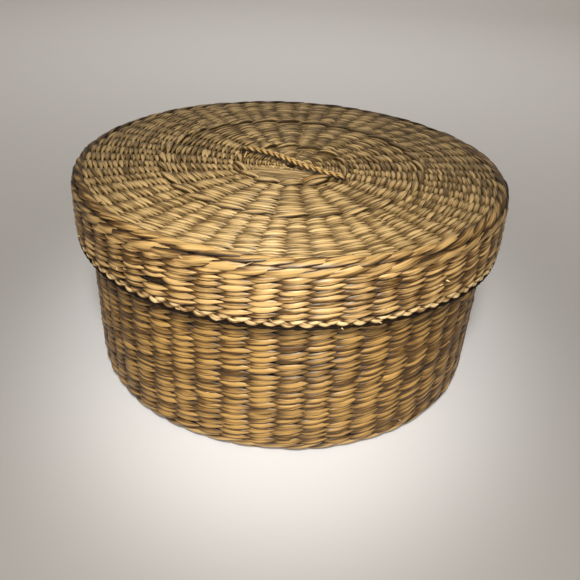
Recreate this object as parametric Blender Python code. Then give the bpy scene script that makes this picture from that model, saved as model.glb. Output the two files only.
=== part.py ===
"""Round lidded basket, woven in pairs from flattened straw, with a plaited grip on its lid.

Units are metres and +Z is up. The origin is the middle of the underside that the basket
stands on, and its front is towards -Y. The lid lifts straight up off the base.

The base and the lid are made alike. Flat sticks cross over and under one another at the
centre and fan out like spokes, through the channels of the rounds of weft that enclose them.
Round the edge the weft of the wall holds its side stakes, up to a plaited border.
"""

import math
from dataclasses import dataclass

import bmesh
import bpy
from mathutils import Vector

# Overall sizes
OVERALL_HEIGHT = 0.0960
LID_RADIUS = 0.1000
LID_SKIRT_HEIGHT = 0.0276
LID_FIT_GAP = 0.0009
BASE_TAPER = 0.0022

# Straw that every panel and wall is woven from
STAKE_WIDTH = 0.0030
STAKE_THICKNESS = 0.0016
WEFT_THICKNESS = 0.0012
CLEARANCE = 0.0003
WEAVE_THICKNESS = STAKE_THICKNESS + 2 * (WEFT_THICKNESS + CLEARANCE)
FLUTE_DEPTH = 0.0008
CUTTER_OVERRUN = 0.0020

# Woven hub, where the sticks cross
HUB_STICK_WIDTH = 0.0016
HUB_STICK_THICKNESS = 0.0006
HUB_STICK_PITCH = 0.0024
HUB_CROSSING_GAP = 0.0003
HUB_WEAVE_INNER_RADIUS = 0.0125
SPOKES_PER_HUB_COLUMN = 2

# Rounds that lie over the sticks: the tie round the hub, and the round where sticks are added
HUB_TIE_RADIUS = 0.0248
HUB_TIE_WIDTH = 0.0050
INCREASE_RADIUS = 0.0600
INCREASE_WIDTH = 0.0030
ROUND_PROUD = 0.0005

# Corner wale, border and the side stakes between them
WALE_THICKNESS = 0.0019
WALE_SETBACK = 0.0004
WALE_PROUD = 0.0006
BORDER_HEIGHT = 0.0038
LID_BORDER_PROUD = 0.0006
STAKES_PER_LOBE = 2
LOBE_SWELL_SHARE = 0.25

# Numbers of sticks in the two directions of each hub, and of stakes in each wall
LID_STICKS = (7, 7)
BASE_STICKS = (7, 6)
SIDE_STAKES_PER_SPOKE = 2
LID_TURN_SHARE = 0.5
BASE_TURN_SHARE = 0.42

# Plaited grip: its strands, and the wells at its two ends, measured from the lid's centre
GRIP_STRAND_DIAMETER = 0.0012
GRIP_STRAND_GAP = 0.0003
GRIP_HALF_WIDTH = 0.0019
GRIP_ARCH = 0.0030
GRIP_REAR_WELL = 0.0282
GRIP_FRONT_WELL = 0.0330
GRIP_WELL_GAP = 0.0005
GRIP_TAIL = 0.0015
GRIP_PERIODS = 5
GRIP_STEPS_PER_PERIOD = 6
GRIP_STRANDS = 3
GRIP_TURN_IN_SHARE = 0.8

BASE_HEIGHT = OVERALL_HEIGHT - WEAVE_THICKNESS - CLEARANCE
BASE_RIM_RADIUS = LID_RADIUS - WEAVE_THICKNESS - LID_FIT_GAP
BASE_FOOT_RADIUS = BASE_RIM_RADIUS - BASE_TAPER
UP = Vector((0, 0, 1))


@dataclass(frozen=True)
class Panel:
    """A flat round of weave: the floor of the base, or the top of the lid."""

    name: str
    sticks: tuple
    turn: float
    middle: float
    rim: float

    @property
    def spokes(self):
        """Number of spokes, two for each stick."""
        return 2 * sum(self.sticks)

    @property
    def spoke_step(self):
        """Angle from one spoke to the next."""
        return math.tau / self.spokes


@dataclass(frozen=True)
class Wall:
    """A woven wall between the panel's face and the free edge of the border."""

    name: str
    stakes: int
    turn: float
    panel_z: float
    edge_z: float
    panel_radius: float
    edge_radius: float

    @property
    def way(self):
        """+1 where the wall climbs from its panel, -1 where it hangs from it."""
        return math.copysign(1, self.edge_z - self.panel_z)

    def radius(self, z):
        """Outer radius of the wall at a height."""
        share = (z - self.panel_z) / (self.edge_z - self.panel_z)
        return self.panel_radius + share * (self.edge_radius - self.panel_radius)

    def middle(self, z):
        """Radius of the side stakes' middle at a height."""
        return self.radius(z) - WEAVE_THICKNESS / 2

    def from_panel(self, distance):
        """Height at a distance from the panel's outer face."""
        return self.panel_z + self.way * distance

    def from_edge(self, distance):
        """Height at a distance from the border's free edge."""
        return self.edge_z - self.way * distance


def rim_radius(radius):
    """Radius at which a panel ends, just inside the side stakes of a wall of that outer radius."""
    return radius - (WEAVE_THICKNESS + STAKE_THICKNESS) / 2 - CLEARANCE


def spoke_turn(sticks, share):
    """Angle of a hub's first direction, as a share of the angle between two spokes."""
    return share * math.tau / (2 * sum(sticks))


BASE_PANEL = Panel(
    "base", BASE_STICKS, spoke_turn(BASE_STICKS, BASE_TURN_SHARE), WEAVE_THICKNESS / 2, rim_radius(BASE_FOOT_RADIUS)
)
LID_PANEL = Panel(
    "lid",
    LID_STICKS,
    spoke_turn(LID_STICKS, LID_TURN_SHARE),
    OVERALL_HEIGHT - WEAVE_THICKNESS / 2,
    rim_radius(LID_RADIUS),
)
BASE_WALL = Wall(
    "base",
    BASE_PANEL.spokes * SIDE_STAKES_PER_SPOKE,
    BASE_PANEL.turn,
    0,
    BASE_HEIGHT,
    BASE_FOOT_RADIUS,
    BASE_RIM_RADIUS,
)
LID_WALL = Wall(
    "lid",
    LID_PANEL.spokes * SIDE_STAKES_PER_SPOKE,
    LID_PANEL.turn,
    OVERALL_HEIGHT,
    OVERALL_HEIGHT - LID_SKIRT_HEIGHT,
    LID_RADIUS,
    LID_RADIUS,
)


def polar(radius, angle, z):
    """Point at a radius, angle and height."""
    return Vector((radius * math.cos(angle), radius * math.sin(angle), z))


def srgb(red, green, blue):
    """Linear colour of a screen colour given in whole numbers up to 255."""
    return [((c / 255 + 0.055) / 1.055) ** 2.4 for c in (red, green, blue)] + [1]


def straw(name, colour, roughness):
    """Principled material of one kind of straw."""
    material = bpy.data.materials.new(name)
    material.use_nodes = True
    shader = material.node_tree.nodes["Principled BSDF"]
    shader.inputs["Base Color"].default_value = colour
    shader.inputs["Roughness"].default_value = roughness
    shader.inputs["Metallic"].default_value = 0
    return material


def make_object(name, bm, collection, material=None):
    """Turn a bmesh into an object with faces that point out."""
    bmesh.ops.recalc_face_normals(bm, faces=bm.faces)
    mesh = bpy.data.meshes.new(name)
    bm.to_mesh(mesh)
    bm.free()
    item = bpy.data.objects.new(name, mesh)
    collection.objects.link(item)
    if material:
        mesh.materials.append(material)
        mesh.shade_smooth()
        mesh.set_sharp_from_angle(angle=math.radians(40))
    return item


def make_tool(name, bm, cutters):
    """Object that only serves a Boolean."""
    tool = make_object(name, bm, cutters)
    tool.hide_render = True
    tool.display_type = "WIRE"
    return tool


def add_boolean(item, tool, operation):
    """Join a tool to an object, or cut it out of it."""
    modifier = item.modifiers.new(tool.name, "BOOLEAN")
    modifier.operation = operation
    modifier.solver = "EXACT"
    modifier.object = tool


def add_bar(bm, stations, face_way):
    """Add a flat bar through stations of centre, width and thickness, its flat side facing face_way."""
    centres = [centre for centre, width, thickness in stations]
    rings = []
    for index, (centre, width, thickness) in enumerate(stations):
        before = centres[max(index - 1, 0)]
        after = centres[min(index + 1, len(centres) - 1)]
        along = (after - before).normalized()
        side = face_way.cross(along).normalized() * (width / 2)
        up = along.cross(side).normalized() * (thickness / 2)
        rings.append([bm.verts.new(centre + corner) for corner in (-side - up, side - up, side + up, up - side)])
    for first, second in zip(rings, rings[1:]):
        for corner in range(4):
            following = (corner + 1) % 4
            bm.faces.new((first[corner], first[following], second[following], second[corner]))
    bm.faces.new(rings[0])
    bm.faces.new(rings[-1][::-1])


def add_shell(bm, loops, columns):
    """Close a ring-shaped shell through loops that run round it, the last one back to the first.

    A loop has one point a column or more. Like loops are joined point to point, and unlike
    ones by a flat face for each column.
    """
    rings = [[bm.verts.new(point) for point in loop] for loop in loops]
    for first, second in zip(rings, rings[1:] + rings[:1]):
        many, few = len(first) // columns, len(second) // columns
        if many == few:
            for index in range(len(first)):
                following = (index + 1) % len(first)
                bm.faces.new((first[index], first[following], second[following], second[index]))
            continue
        for column in range(columns):
            edge = [first[(column * many + step) % len(first)] for step in range(many + 1)]
            back = [second[(column * few + step) % len(second)] for step in range(few, -1, -1)]
            bm.faces.new(edge + back)


def fluted_loop(columns, turn, radius, z, out, rise):
    """Loop with a valley between columns and a ridge on each, moved out and raised from the chord."""
    step = math.tau / columns
    points = []
    for column in range(columns):
        angle = turn + column * step
        valley = polar(radius, angle - step / 2, z)
        following = polar(radius, angle + step / 2, z)
        points += [valley, (valley + following) / 2 + polar(out, angle, rise)]
    return points


def plain_loop(columns, turn, radius, z):
    """Loop with one point between each two columns."""
    step = math.tau / columns
    return [polar(radius, turn + (column - 0.5) * step, z) for column in range(columns)]


def add_lobed_ring(bm, inner, outer, low, high, stakes, turn, sides):
    """Closed ring between two radii and two heights, swelling in slanted lobes as overlapping strands do.

    It has one section between each two stakes, so that a stake meets it in the middle of a face.
    """
    corners = [math.tau * (side + 0.5) / sides - math.pi / 2 for side in range(sides)]
    widest = max(math.cos(corner) for corner in corners)
    tallest = max(math.sin(corner) for corner in corners)
    rings = []
    for section in range(stakes):
        ring = []
        for corner in corners:
            lobe = math.tau * section / STAKES_PER_LOBE + corner
            swell = 1 - LOBE_SWELL_SHARE * (1 - math.cos(lobe)) / 2
            reach = (inner + outer) / 2 + (outer - inner) / 2 * swell * math.cos(corner) / widest
            height = (low + high) / 2 + (high - low) / 2 * swell * math.sin(corner) / tallest
            ring.append(bm.verts.new(polar(reach, turn + math.tau * section / stakes, height)))
        rings.append(ring)
    for first, second in zip(rings, rings[1:] + rings[:1]):
        for side in range(sides):
            following = (side + 1) % sides
            bm.faces.new((first[side], first[following], second[following], second[side]))


def stick_stations(panel, direction, index):
    """Stations of one stick, from rim to rim across the woven hub.

    It lies level over or under each stick that it crosses, and slopes in the gaps between them.
    """
    own, other = panel.sticks[direction], panel.sticks[1 - direction]
    axis = panel.turn + direction * math.pi / 2
    side = index - (own - 1) / 2
    along = polar(1, axis, 0)
    across = polar(1, axis + math.pi / 2, 0)
    line = across * (side * HUB_STICK_PITCH) + UP * panel.middle
    wave = (HUB_STICK_THICKNESS + HUB_CROSSING_GAP) / 2

    def spoke(angle, radius, width, thickness):
        return polar(radius, angle, panel.middle), width, thickness

    def half_spoke(angle):
        return [
            spoke(angle, panel.rim, STAKE_WIDTH, STAKE_THICKNESS),
            spoke(angle, HUB_TIE_RADIUS + HUB_TIE_WIDTH / 2, STAKE_WIDTH, STAKE_THICKNESS),
            spoke(angle, HUB_TIE_RADIUS - HUB_TIE_WIDTH / 2, HUB_STICK_WIDTH, HUB_STICK_THICKNESS),
            spoke(angle, HUB_WEAVE_INNER_RADIUS, HUB_STICK_WIDTH, HUB_STICK_THICKNESS),
        ]

    def hub(distance, height):
        return line + along * distance + UP * height, HUB_STICK_WIDTH, HUB_STICK_THICKNESS

    crossings = []
    for place in range(other):
        crossed = other - 1 - place if direction == 0 else place
        over = 1 if (index + crossed + direction) % 2 == 0 else -1
        distance = (place - (other - 1) / 2) * HUB_STICK_PITCH
        crossings += [hub(distance + edge * HUB_STICK_WIDTH / 2, over * wave) for edge in (-1, 1)]
    start = half_spoke(axis + math.pi - side * panel.spoke_step)
    end = half_spoke(axis + side * panel.spoke_step)
    return start + crossings + end[::-1]


def make_sticks(panel, label, parts, material):
    """The sticks of a hub, each its own piece."""
    number = 1
    for direction in (0, 1):
        for index in range(panel.sticks[direction]):
            bm = bmesh.new()
            add_bar(bm, stick_stations(panel, direction, index), UP)
            make_object(f"{panel.name}_{label}_stick_{number:02d}", bm, parts, material)
            number += 1


def add_round(bm, panel, radius, width):
    """Add a ring of strands that lies over the sticks, a little proud of the weave."""
    low = panel.middle + STAKE_THICKNESS / 2 + CLEARANCE
    high = panel.middle + WEAVE_THICKNESS / 2 + ROUND_PROUD
    turn = panel.turn
    add_lobed_ring(bm, radius - width / 2, radius + width / 2, low, high, panel.spokes, turn, 4)


def make_round(panel, label, radius, width, parts, material):
    """Ring of wide strands laid over the spokes."""
    bm = bmesh.new()
    add_round(bm, panel, radius, width)
    make_object(f"{panel.name}_{label}", bm, parts, material)


def add_added_sticks(item, panel, cutters):
    """Join the sticks added between the spokes to the rounds of weft that hold them.

    They start under the round that binds them in.
    """
    bm = bmesh.new()
    for spoke in range(panel.spokes):
        angle = panel.turn + (spoke + 0.5) * panel.spoke_step
        ends = (INCREASE_RADIUS, INCREASE_RADIUS + INCREASE_WIDTH + CUTTER_OVERRUN)
        add_bar(bm, [(polar(end, angle, panel.middle), STAKE_WIDTH, STAKE_THICKNESS) for end in ends], UP)
    add_boolean(item, make_tool(f"{panel.name}_added_sticks", bm, cutters), "UNION")


def channel_tool(name, panel, inner, outer, width, thickness, cutters):
    """Cutter of the radial channels that the spokes pass through."""
    bm = bmesh.new()
    for spoke in range(panel.spokes):
        angle = panel.turn + spoke * panel.spoke_step
        ends = (polar(inner - CUTTER_OVERRUN, angle, panel.middle), polar(outer + CUTTER_OVERRUN, angle, panel.middle))
        add_bar(bm, [(end, width + 2 * CLEARANCE, thickness + 2 * CLEARANCE) for end in ends], UP)
    return make_tool(f"{name}_channels", bm, cutters)


def make_panel_weave(panel, label, columns, inner, outer, flute, parts, material):
    """Rounds of weft between two radii, with a ridge on each column where they are fluted."""
    top = panel.middle + WEAVE_THICKNESS / 2
    bottom = panel.middle - WEAVE_THICKNESS / 2
    turn = panel.turn
    if columns < panel.spokes:
        turn += panel.spoke_step / 2
    if flute:
        upper = [fluted_loop(columns, turn, radius, top - flute, 0, flute) for radius in (inner, outer)]
    else:
        upper = [plain_loop(columns, turn, radius, top) for radius in (inner, outer)]
    lower = [plain_loop(columns, turn, radius, bottom) for radius in (outer, inner)]
    bm = bmesh.new()
    add_shell(bm, upper + lower, columns)
    return make_object(f"{panel.name}_{label}_weave", bm, parts, material)


def make_hub_weave(panel, columns, flute, parts, cutters, material):
    """Rounds of weft from the crossing of the sticks to the tie, over the narrow roots of the spokes."""
    inner, outer = HUB_WEAVE_INNER_RADIUS, HUB_TIE_RADIUS - HUB_TIE_WIDTH / 2 - 2 * CLEARANCE
    item = make_panel_weave(panel, "hub", columns, inner, outer, flute, parts, material)
    tool = channel_tool(item.name, panel, inner, outer, HUB_STICK_WIDTH, HUB_STICK_THICKNESS, cutters)
    add_boolean(item, tool, "DIFFERENCE")
    return item


def make_spoked_weave(panel, label, columns, inner, outer, flute, parts, cutters, material):
    """Rounds of weft that enclose the spokes at their full width."""
    item = make_panel_weave(panel, label, columns, inner, outer, flute, parts, material)
    tool = channel_tool(item.name, panel, inner, outer, STAKE_WIDTH, STAKE_THICKNESS, cutters)
    add_boolean(item, tool, "DIFFERENCE")
    return item


def make_wall_weave(wall, label, parts, cutters, material):
    """Rounds of weft between the corner and the border, in one with the side stakes that they hold.

    A ridge stands over each side stake, and the stakes' roots reach past the weft to the corner.
    """
    ends = wall.from_panel(WEAVE_THICKNESS + CLEARANCE), wall.from_edge(BORDER_HEIGHT + CLEARANCE)
    low, high = min(ends), max(ends)
    turn = wall.turn + math.pi / wall.stakes
    outside = [fluted_loop(wall.stakes, turn, wall.radius(z) - FLUTE_DEPTH, z, FLUTE_DEPTH, 0) for z in (low, high)]
    inside = [plain_loop(wall.stakes, turn, wall.radius(z) - WEAVE_THICKNESS, z) for z in (high, low)]
    bm = bmesh.new()
    add_shell(bm, outside + inside, wall.stakes)
    item = make_object(f"{wall.name}_{label}_weave_with_side_stakes", bm, parts, material)
    bm = bmesh.new()
    roots = wall.from_panel(WALE_THICKNESS + CLEARANCE), wall.from_panel(WEAVE_THICKNESS + CUTTER_OVERRUN)
    for stake in range(wall.stakes):
        angle = wall.turn + (stake + 0.5) * math.tau / wall.stakes
        stations = [(polar(wall.middle(z), angle, z), STAKE_WIDTH, STAKE_THICKNESS) for z in roots]
        add_bar(bm, stations, polar(1, angle, 0))
    add_boolean(item, make_tool(f"{wall.name}_side_stakes", bm, cutters), "UNION")


def make_corner_wale(wall, label, parts, material):
    """Two rows of long overlapping strands: one over the side stakes' ends, one outside the stakes."""
    end_row = wall.from_panel(0), wall.from_panel(WALE_THICKNESS)
    inner = max(wall.middle(z) for z in end_row) - STAKE_THICKNESS / 2
    outer = min(wall.radius(z) for z in end_row) - WALE_SETBACK
    bm = bmesh.new()
    add_lobed_ring(bm, inner, outer, min(end_row), max(end_row), wall.stakes, wall.turn, 4)
    make_object(f"{wall.name}_{label}_wale_over_ends", bm, parts, material)
    side_row = wall.from_panel(WALE_THICKNESS + CLEARANCE), wall.from_panel(WEAVE_THICKNESS)
    inner = max(wall.middle(z) for z in side_row) + STAKE_THICKNESS / 2 + CLEARANCE
    outer = max(wall.radius(z) for z in side_row) + WALE_PROUD
    bm = bmesh.new()
    add_lobed_ring(bm, inner, outer, min(side_row), max(side_row), wall.stakes, wall.turn, 4)
    make_object(f"{wall.name}_{label}_wale_round_side", bm, parts, material)


def make_border(wall, proud, parts, material):
    """Plaited border along the wall's free edge."""
    z = wall.from_edge(BORDER_HEIGHT / 2)
    inner, outer = wall.radius(z) - WEAVE_THICKNESS - proud, wall.radius(z) + proud
    low, high = sorted((wall.from_edge(0), wall.from_edge(BORDER_HEIGHT)))
    bm = bmesh.new()
    add_lobed_ring(bm, inner, outer, low, high, wall.stakes, wall.turn, 6)
    make_object(f"{wall.name}_border", bm, parts, material)


def grip_way():
    """Direction of the grip: it runs through the open corners of the hub's cross, rear to front."""
    return polar(1, LID_PANEL.turn - math.pi / 4, 0)


def grip_wells(first):
    """Distances of an end's wells from the lid's centre."""
    return [first + strand * (GRIP_STRAND_DIAMETER + GRIP_WELL_GAP) for strand in range(GRIP_STRANDS)]


def grip_strand_points(strand):
    """Route of one strand: up out of its rear well, along the plait and down its front well.

    A strand swings to and fro once in a period while it rises and falls twice, so each
    passes over one neighbour and under the other.
    """
    way = grip_way()
    side = UP.cross(way)
    phase = math.radians(30 + 120 * strand)
    wave = (GRIP_STRAND_DIAMETER + GRIP_STRAND_GAP) / (2 * math.sin(math.radians(60)))
    crossing_height = wave * math.sin(math.radians(60))
    low = ROUND_PROUD + CLEARANCE + GRIP_STRAND_DIAMETER / 2
    middle = low + crossing_height
    start = GRIP_STRAND_DIAMETER - GRIP_REAR_WELL
    end = GRIP_FRONT_WELL - GRIP_STRAND_DIAMETER
    bottom = -WEAVE_THICKNESS - GRIP_TAIL

    def place(distance, across, height):
        return way * distance + side * across + UP * (OVERALL_HEIGHT + height)

    def well(first, last, sign):
        rear = [sign * distance for distance in grip_wells(first)]
        routes = (
            [(rear[1], 0, middle + crossing_height), (rear[2], 0, low), (rear[2], 0, bottom)],
            [(rear[0], 0, low), (rear[0], 0, bottom)],
            [(rear[0], -GRIP_HALF_WIDTH * GRIP_TURN_IN_SHARE, middle), (rear[1], 0, low), (rear[1], 0, bottom)],
        )
        return [place(*point) for point in routes[last]]

    steps = GRIP_PERIODS * GRIP_STEPS_PER_PERIOD
    plait = []
    for step in range(steps + 1):
        share = step / steps
        turn = phase + math.tau * step / GRIP_STEPS_PER_PERIOD
        height = middle + GRIP_ARCH * math.sin(math.pi * share) + wave * math.sin(2 * turn)
        plait.append(place(start + share * (end - start), GRIP_HALF_WIDTH * math.sin(turn), height))
    return well(GRIP_REAR_WELL, strand, -1)[::-1] + plait + well(GRIP_FRONT_WELL, strand, 1)


def make_grip(parts, material):
    """Three strands plaited into a low loop across the lid's centre."""
    for strand in range(GRIP_STRANDS):
        points = grip_strand_points(strand)
        curve = bpy.data.curves.new(f"grip_strand_{strand + 1}", "CURVE")
        curve.dimensions = "3D"
        curve.bevel_depth = GRIP_STRAND_DIAMETER / 2
        curve.bevel_resolution = 1
        curve.use_fill_caps = True
        spline = curve.splines.new("POLY")
        spline.points.add(len(points) - 1)
        for point, position in zip(spline.points, points):
            point.co = (*position, 1)
        curve.materials.append(material)
        parts.objects.link(bpy.data.objects.new(curve.name, curve))


def cut_grip_slot(item, label, first_well, sign, cutters):
    """Slot between two spokes that one end of the grip passes down through."""
    wells = grip_wells(first_well)
    reach = GRIP_STRAND_DIAMETER / 2 + CLEARANCE
    way = grip_way() * sign
    bm = bmesh.new()
    ends = (wells[0] - reach, wells[-1] + reach)
    depth = WEAVE_THICKNESS + 2 * CUTTER_OVERRUN
    add_bar(bm, [(way * end + UP * LID_PANEL.middle, 2 * reach, depth) for end in ends], UP)
    add_boolean(item, make_tool(f"{item.name}_{label}_slot", bm, cutters), "DIFFERENCE")


def make_base(parts, cutters, materials):
    """Every piece of the base."""
    spokes = BASE_PANEL.spokes
    tie_edge = HUB_TIE_RADIUS + HUB_TIE_WIDTH / 2 + CLEARANCE
    weft, wale = materials["weft"], materials["wale"]
    make_sticks(BASE_PANEL, "bottom", parts, materials["stake"])
    make_hub_weave(BASE_PANEL, spokes, 0, parts, cutters, weft)
    make_round(BASE_PANEL, "hub_tie", HUB_TIE_RADIUS, HUB_TIE_WIDTH, parts, wale)
    make_spoked_weave(BASE_PANEL, "bottom", spokes, tie_edge, BASE_PANEL.rim, 0, parts, cutters, weft)
    make_corner_wale(BASE_WALL, "foot", parts, wale)
    make_wall_weave(BASE_WALL, "wall", parts, cutters, weft)
    make_border(BASE_WALL, 0, parts, materials["border"])


def make_lid(parts, cutters, materials):
    """Every piece of the lid, with its grip."""
    spokes = LID_PANEL.spokes
    columns = LID_WALL.stakes
    tie_edge = HUB_TIE_RADIUS + HUB_TIE_WIDTH / 2 + CLEARANCE
    increase_inner = INCREASE_RADIUS - INCREASE_WIDTH / 2 - CLEARANCE
    increase_outer = INCREASE_RADIUS + INCREASE_WIDTH / 2 + CLEARANCE
    weft, wale = materials["lid_weft"], materials["wale"]
    make_sticks(LID_PANEL, "top", parts, materials["stake"])
    make_hub_weave(LID_PANEL, spokes // SPOKES_PER_HUB_COLUMN, FLUTE_DEPTH, parts, cutters, weft)
    make_round(LID_PANEL, "hub_tie", HUB_TIE_RADIUS, HUB_TIE_WIDTH, parts, wale)
    inner = make_spoked_weave(LID_PANEL, "inner", spokes, tie_edge, increase_inner, FLUTE_DEPTH, parts, cutters, weft)
    cut_grip_slot(inner, "rear", GRIP_REAR_WELL, -1, cutters)
    cut_grip_slot(inner, "front", GRIP_FRONT_WELL, 1, cutters)
    make_round(LID_PANEL, "increase_round", INCREASE_RADIUS, INCREASE_WIDTH, parts, wale)
    outer = make_spoked_weave(
        LID_PANEL, "outer", columns, increase_outer, LID_PANEL.rim, FLUTE_DEPTH, parts, cutters, weft
    )
    add_added_sticks(outer, LID_PANEL, cutters)
    make_corner_wale(LID_WALL, "corner", parts, wale)
    make_wall_weave(LID_WALL, "skirt", parts, cutters, materials["weft"])
    make_border(LID_WALL, LID_BORDER_PROUD, parts, materials["border"])
    make_grip(parts, materials["grip"])


def main():
    """Clear the scene and build the basket."""
    for item in list(bpy.data.objects):
        bpy.data.objects.remove(item)
    parts = bpy.data.collections.new("lidded_straw_basket")
    cutters = bpy.data.collections.new("cutters")
    for collection in (parts, cutters):
        bpy.context.scene.collection.children.link(collection)
    materials = {
        "stake": straw("stake_straw", srgb(150, 126, 88), 0.55),
        "weft": straw("weft_straw", srgb(176, 132, 70), 0.45),
        "lid_weft": straw("lid_weft_straw", srgb(164, 130, 82), 0.5),
        "wale": straw("wale_straw", srgb(206, 162, 94), 0.42),
        "border": straw("border_straw", srgb(206, 178, 122), 0.55),
        "grip": straw("grip_straw", srgb(190, 150, 82), 0.5),
    }
    make_base(parts, cutters, materials)
    make_lid(parts, cutters, materials)


main()
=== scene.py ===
"""Round straw basket with a drop-over lid, twined from flattened straw, on a pale studio floor.

The base and the lid are twined alike: pairs of weft strands cross between flat stakes, round
after round, and each front crossing shows as one plump leaf of straw. Waling binds the corners,
a plait finishes each free edge, and a three-strand plait is the lid's grip.

Directions round the basket are angles from its front, growing to the right. Places on a woven
wall are the length along its middle line, and the depth out of it.
"""

import logging
import math
from dataclasses import dataclass, field
from enum import Enum
from typing import Any, ClassVar

import bpy
import numpy as np
from mathutils import Matrix, Vector

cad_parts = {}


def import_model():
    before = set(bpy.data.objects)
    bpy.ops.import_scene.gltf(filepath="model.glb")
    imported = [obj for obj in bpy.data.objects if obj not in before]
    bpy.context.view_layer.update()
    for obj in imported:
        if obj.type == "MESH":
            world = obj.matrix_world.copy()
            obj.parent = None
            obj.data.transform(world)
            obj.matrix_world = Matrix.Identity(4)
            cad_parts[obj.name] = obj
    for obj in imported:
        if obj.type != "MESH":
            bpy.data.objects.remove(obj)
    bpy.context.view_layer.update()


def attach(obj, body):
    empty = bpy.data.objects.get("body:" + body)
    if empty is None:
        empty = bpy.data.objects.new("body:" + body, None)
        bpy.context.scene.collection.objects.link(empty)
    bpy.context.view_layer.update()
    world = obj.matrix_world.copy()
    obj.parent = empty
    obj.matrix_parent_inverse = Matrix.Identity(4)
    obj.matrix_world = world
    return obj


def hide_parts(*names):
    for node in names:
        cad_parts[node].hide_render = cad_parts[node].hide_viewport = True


Colour = tuple[int, int, int]
Point = tuple[float, float, float]
Socket = bpy.types.NodeSocket

LOG = logging.getLogger("basket")
MM = 0.001
TINY = 1e-9
SECTION_POINTS = 8
SECTION_TURNS = np.arange(SECTION_POINTS) * (math.tau / SECTION_POINTS)
SECTION_CAP = np.array([[0, 1, 2, 3], [3, 4, 7, 0], [4, 5, 6, 7]])
EDGE_SHARPNESS = 5
LEVEL_RANGE = (0.08, 0.95)
QUARTER_TURN = np.linspace(0, math.pi / 2, 7)


def linear(colour: Colour) -> tuple[float, float, float, float]:
    """Turn an sRGB colour into the linear one that shaders take.

    Args:
        colour: red, green and blue from 0 to 255.

    Returns:
        Linear red, green, blue and an alpha of 1.
    """
    shares = [channel / 255 for channel in colour]
    red, green, blue = (s / 12.92 if s <= 0.04045 else ((s + 0.055) / 1.055) ** 2.4 for s in shares)
    return red, green, blue, 1.0


class Technique(Enum):
    """Way of twining: how many strands cross, and for what share of its way one lies in front."""

    PAIRING = (2, 1 / 2)
    WALING = (3, 2 / 3)

    @property
    def strands(self) -> int:
        """Number of strands that turn round each other."""
        return self.value[0]

    @property
    def front_share(self) -> float:
        """Share of its way that a strand lies in front of the stakes."""
        return self.value[1]


@dataclass(frozen=True)
class Profile:
    """Course of a value over a share of the way, straight between its knots."""

    knots: tuple[float, ...]
    values: tuple[float, ...]

    def at(self, share: np.ndarray) -> np.ndarray:
        """Value at each share."""
        return np.interp(share, self.knots, self.values)


@dataclass(frozen=True)
class Wiring:
    """Nodes of one material, with short ways to add and join them."""

    tree: bpy.types.NodeTree

    def add(self, kind: str) -> bpy.types.Node:
        """New node of a kind."""
        return self.tree.nodes.new(kind)

    def join(self, source: Socket, target: Socket) -> None:
        """Link an output to an input."""
        self.tree.links.new(source, target)

    def attribute(self, name: str) -> bpy.types.Node:
        """Read one of the mesh's own values.

        Args:
            name: name of the value.

        Returns:
            The node that reads it.
        """
        node = self.add("ShaderNodeAttribute")
        node.attribute_name = name
        return node

    def streaks(self, fibre: Socket, scale: Point, detail: float) -> Socket:
        """Make noise that is drawn out along the straw.

        Args:
            fibre: place along and across the straw.
            scale: how many changes a metre along and across it, and from straw to straw.
            detail: how many finer layers the noise has.

        Returns:
            The noise, from 0 to 1.
        """
        mapping = self.add("ShaderNodeVectorMath")
        mapping.operation = "MULTIPLY"
        mapping.inputs[1].default_value = scale
        self.join(fibre, mapping.inputs[0])
        noise = self.add("ShaderNodeTexNoise")
        noise.inputs["Scale"].default_value = 1.0
        noise.inputs["Detail"].default_value = detail
        self.join(mapping.outputs[0], noise.inputs["Vector"])
        return noise.outputs["Fac"]

    def arithmetic(self, operation: str, first: Socket, second: float | Socket) -> Socket:
        """Work out a sum, a product or the like of two values.

        Args:
            operation: Blender's name of the operation.
            first: first value.
            second: second value, or a plain number.

        Returns:
            The result.
        """
        node = self.add("ShaderNodeMath")
        node.operation = operation
        self.join(first, node.inputs[0])
        if isinstance(second, (int, float)):
            node.inputs[1].default_value = second
        else:
            self.join(second, node.inputs[1])
        return node.outputs[0]

    def centred(self, value: Socket, middle: float, share: float) -> Socket:
        """Weigh how far a value lies from a middle one.

        Args:
            value: the value.
            middle: what is taken off it.
            share: what the rest is multiplied by.

        Returns:
            The weighed difference.
        """
        return self.arithmetic("MULTIPLY", self.arithmetic("SUBTRACT", value, middle), share)

    def spread(self, value: Socket, top: float, target: tuple[float, float]) -> Socket:
        """Spread a value that runs from 0 to a top over another range, and clip it there.

        Args:
            value: the value.
            top: where the value's range ends.
            target: where the new range starts and ends.

        Returns:
            The value in its new range.
        """
        node = self.add("ShaderNodeMapRange")
        node.inputs["From Min"].default_value = 0.0
        node.inputs["From Max"].default_value = top
        node.inputs["To Min"].default_value, node.inputs["To Max"].default_value = target
        self.join(value, node.inputs["Value"])
        return node.outputs[0]

    def colour_mix(self) -> tuple[Socket, Socket, Socket, Socket]:
        """Add a node that mixes two colours.

        Returns:
            Its share, its first colour, its second one and the mixed one.
        """
        node = self.add("ShaderNodeMix")
        node.data_type = "RGBA"
        return node.inputs[0], node.inputs[6], node.inputs[7], node.outputs[2]


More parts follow.
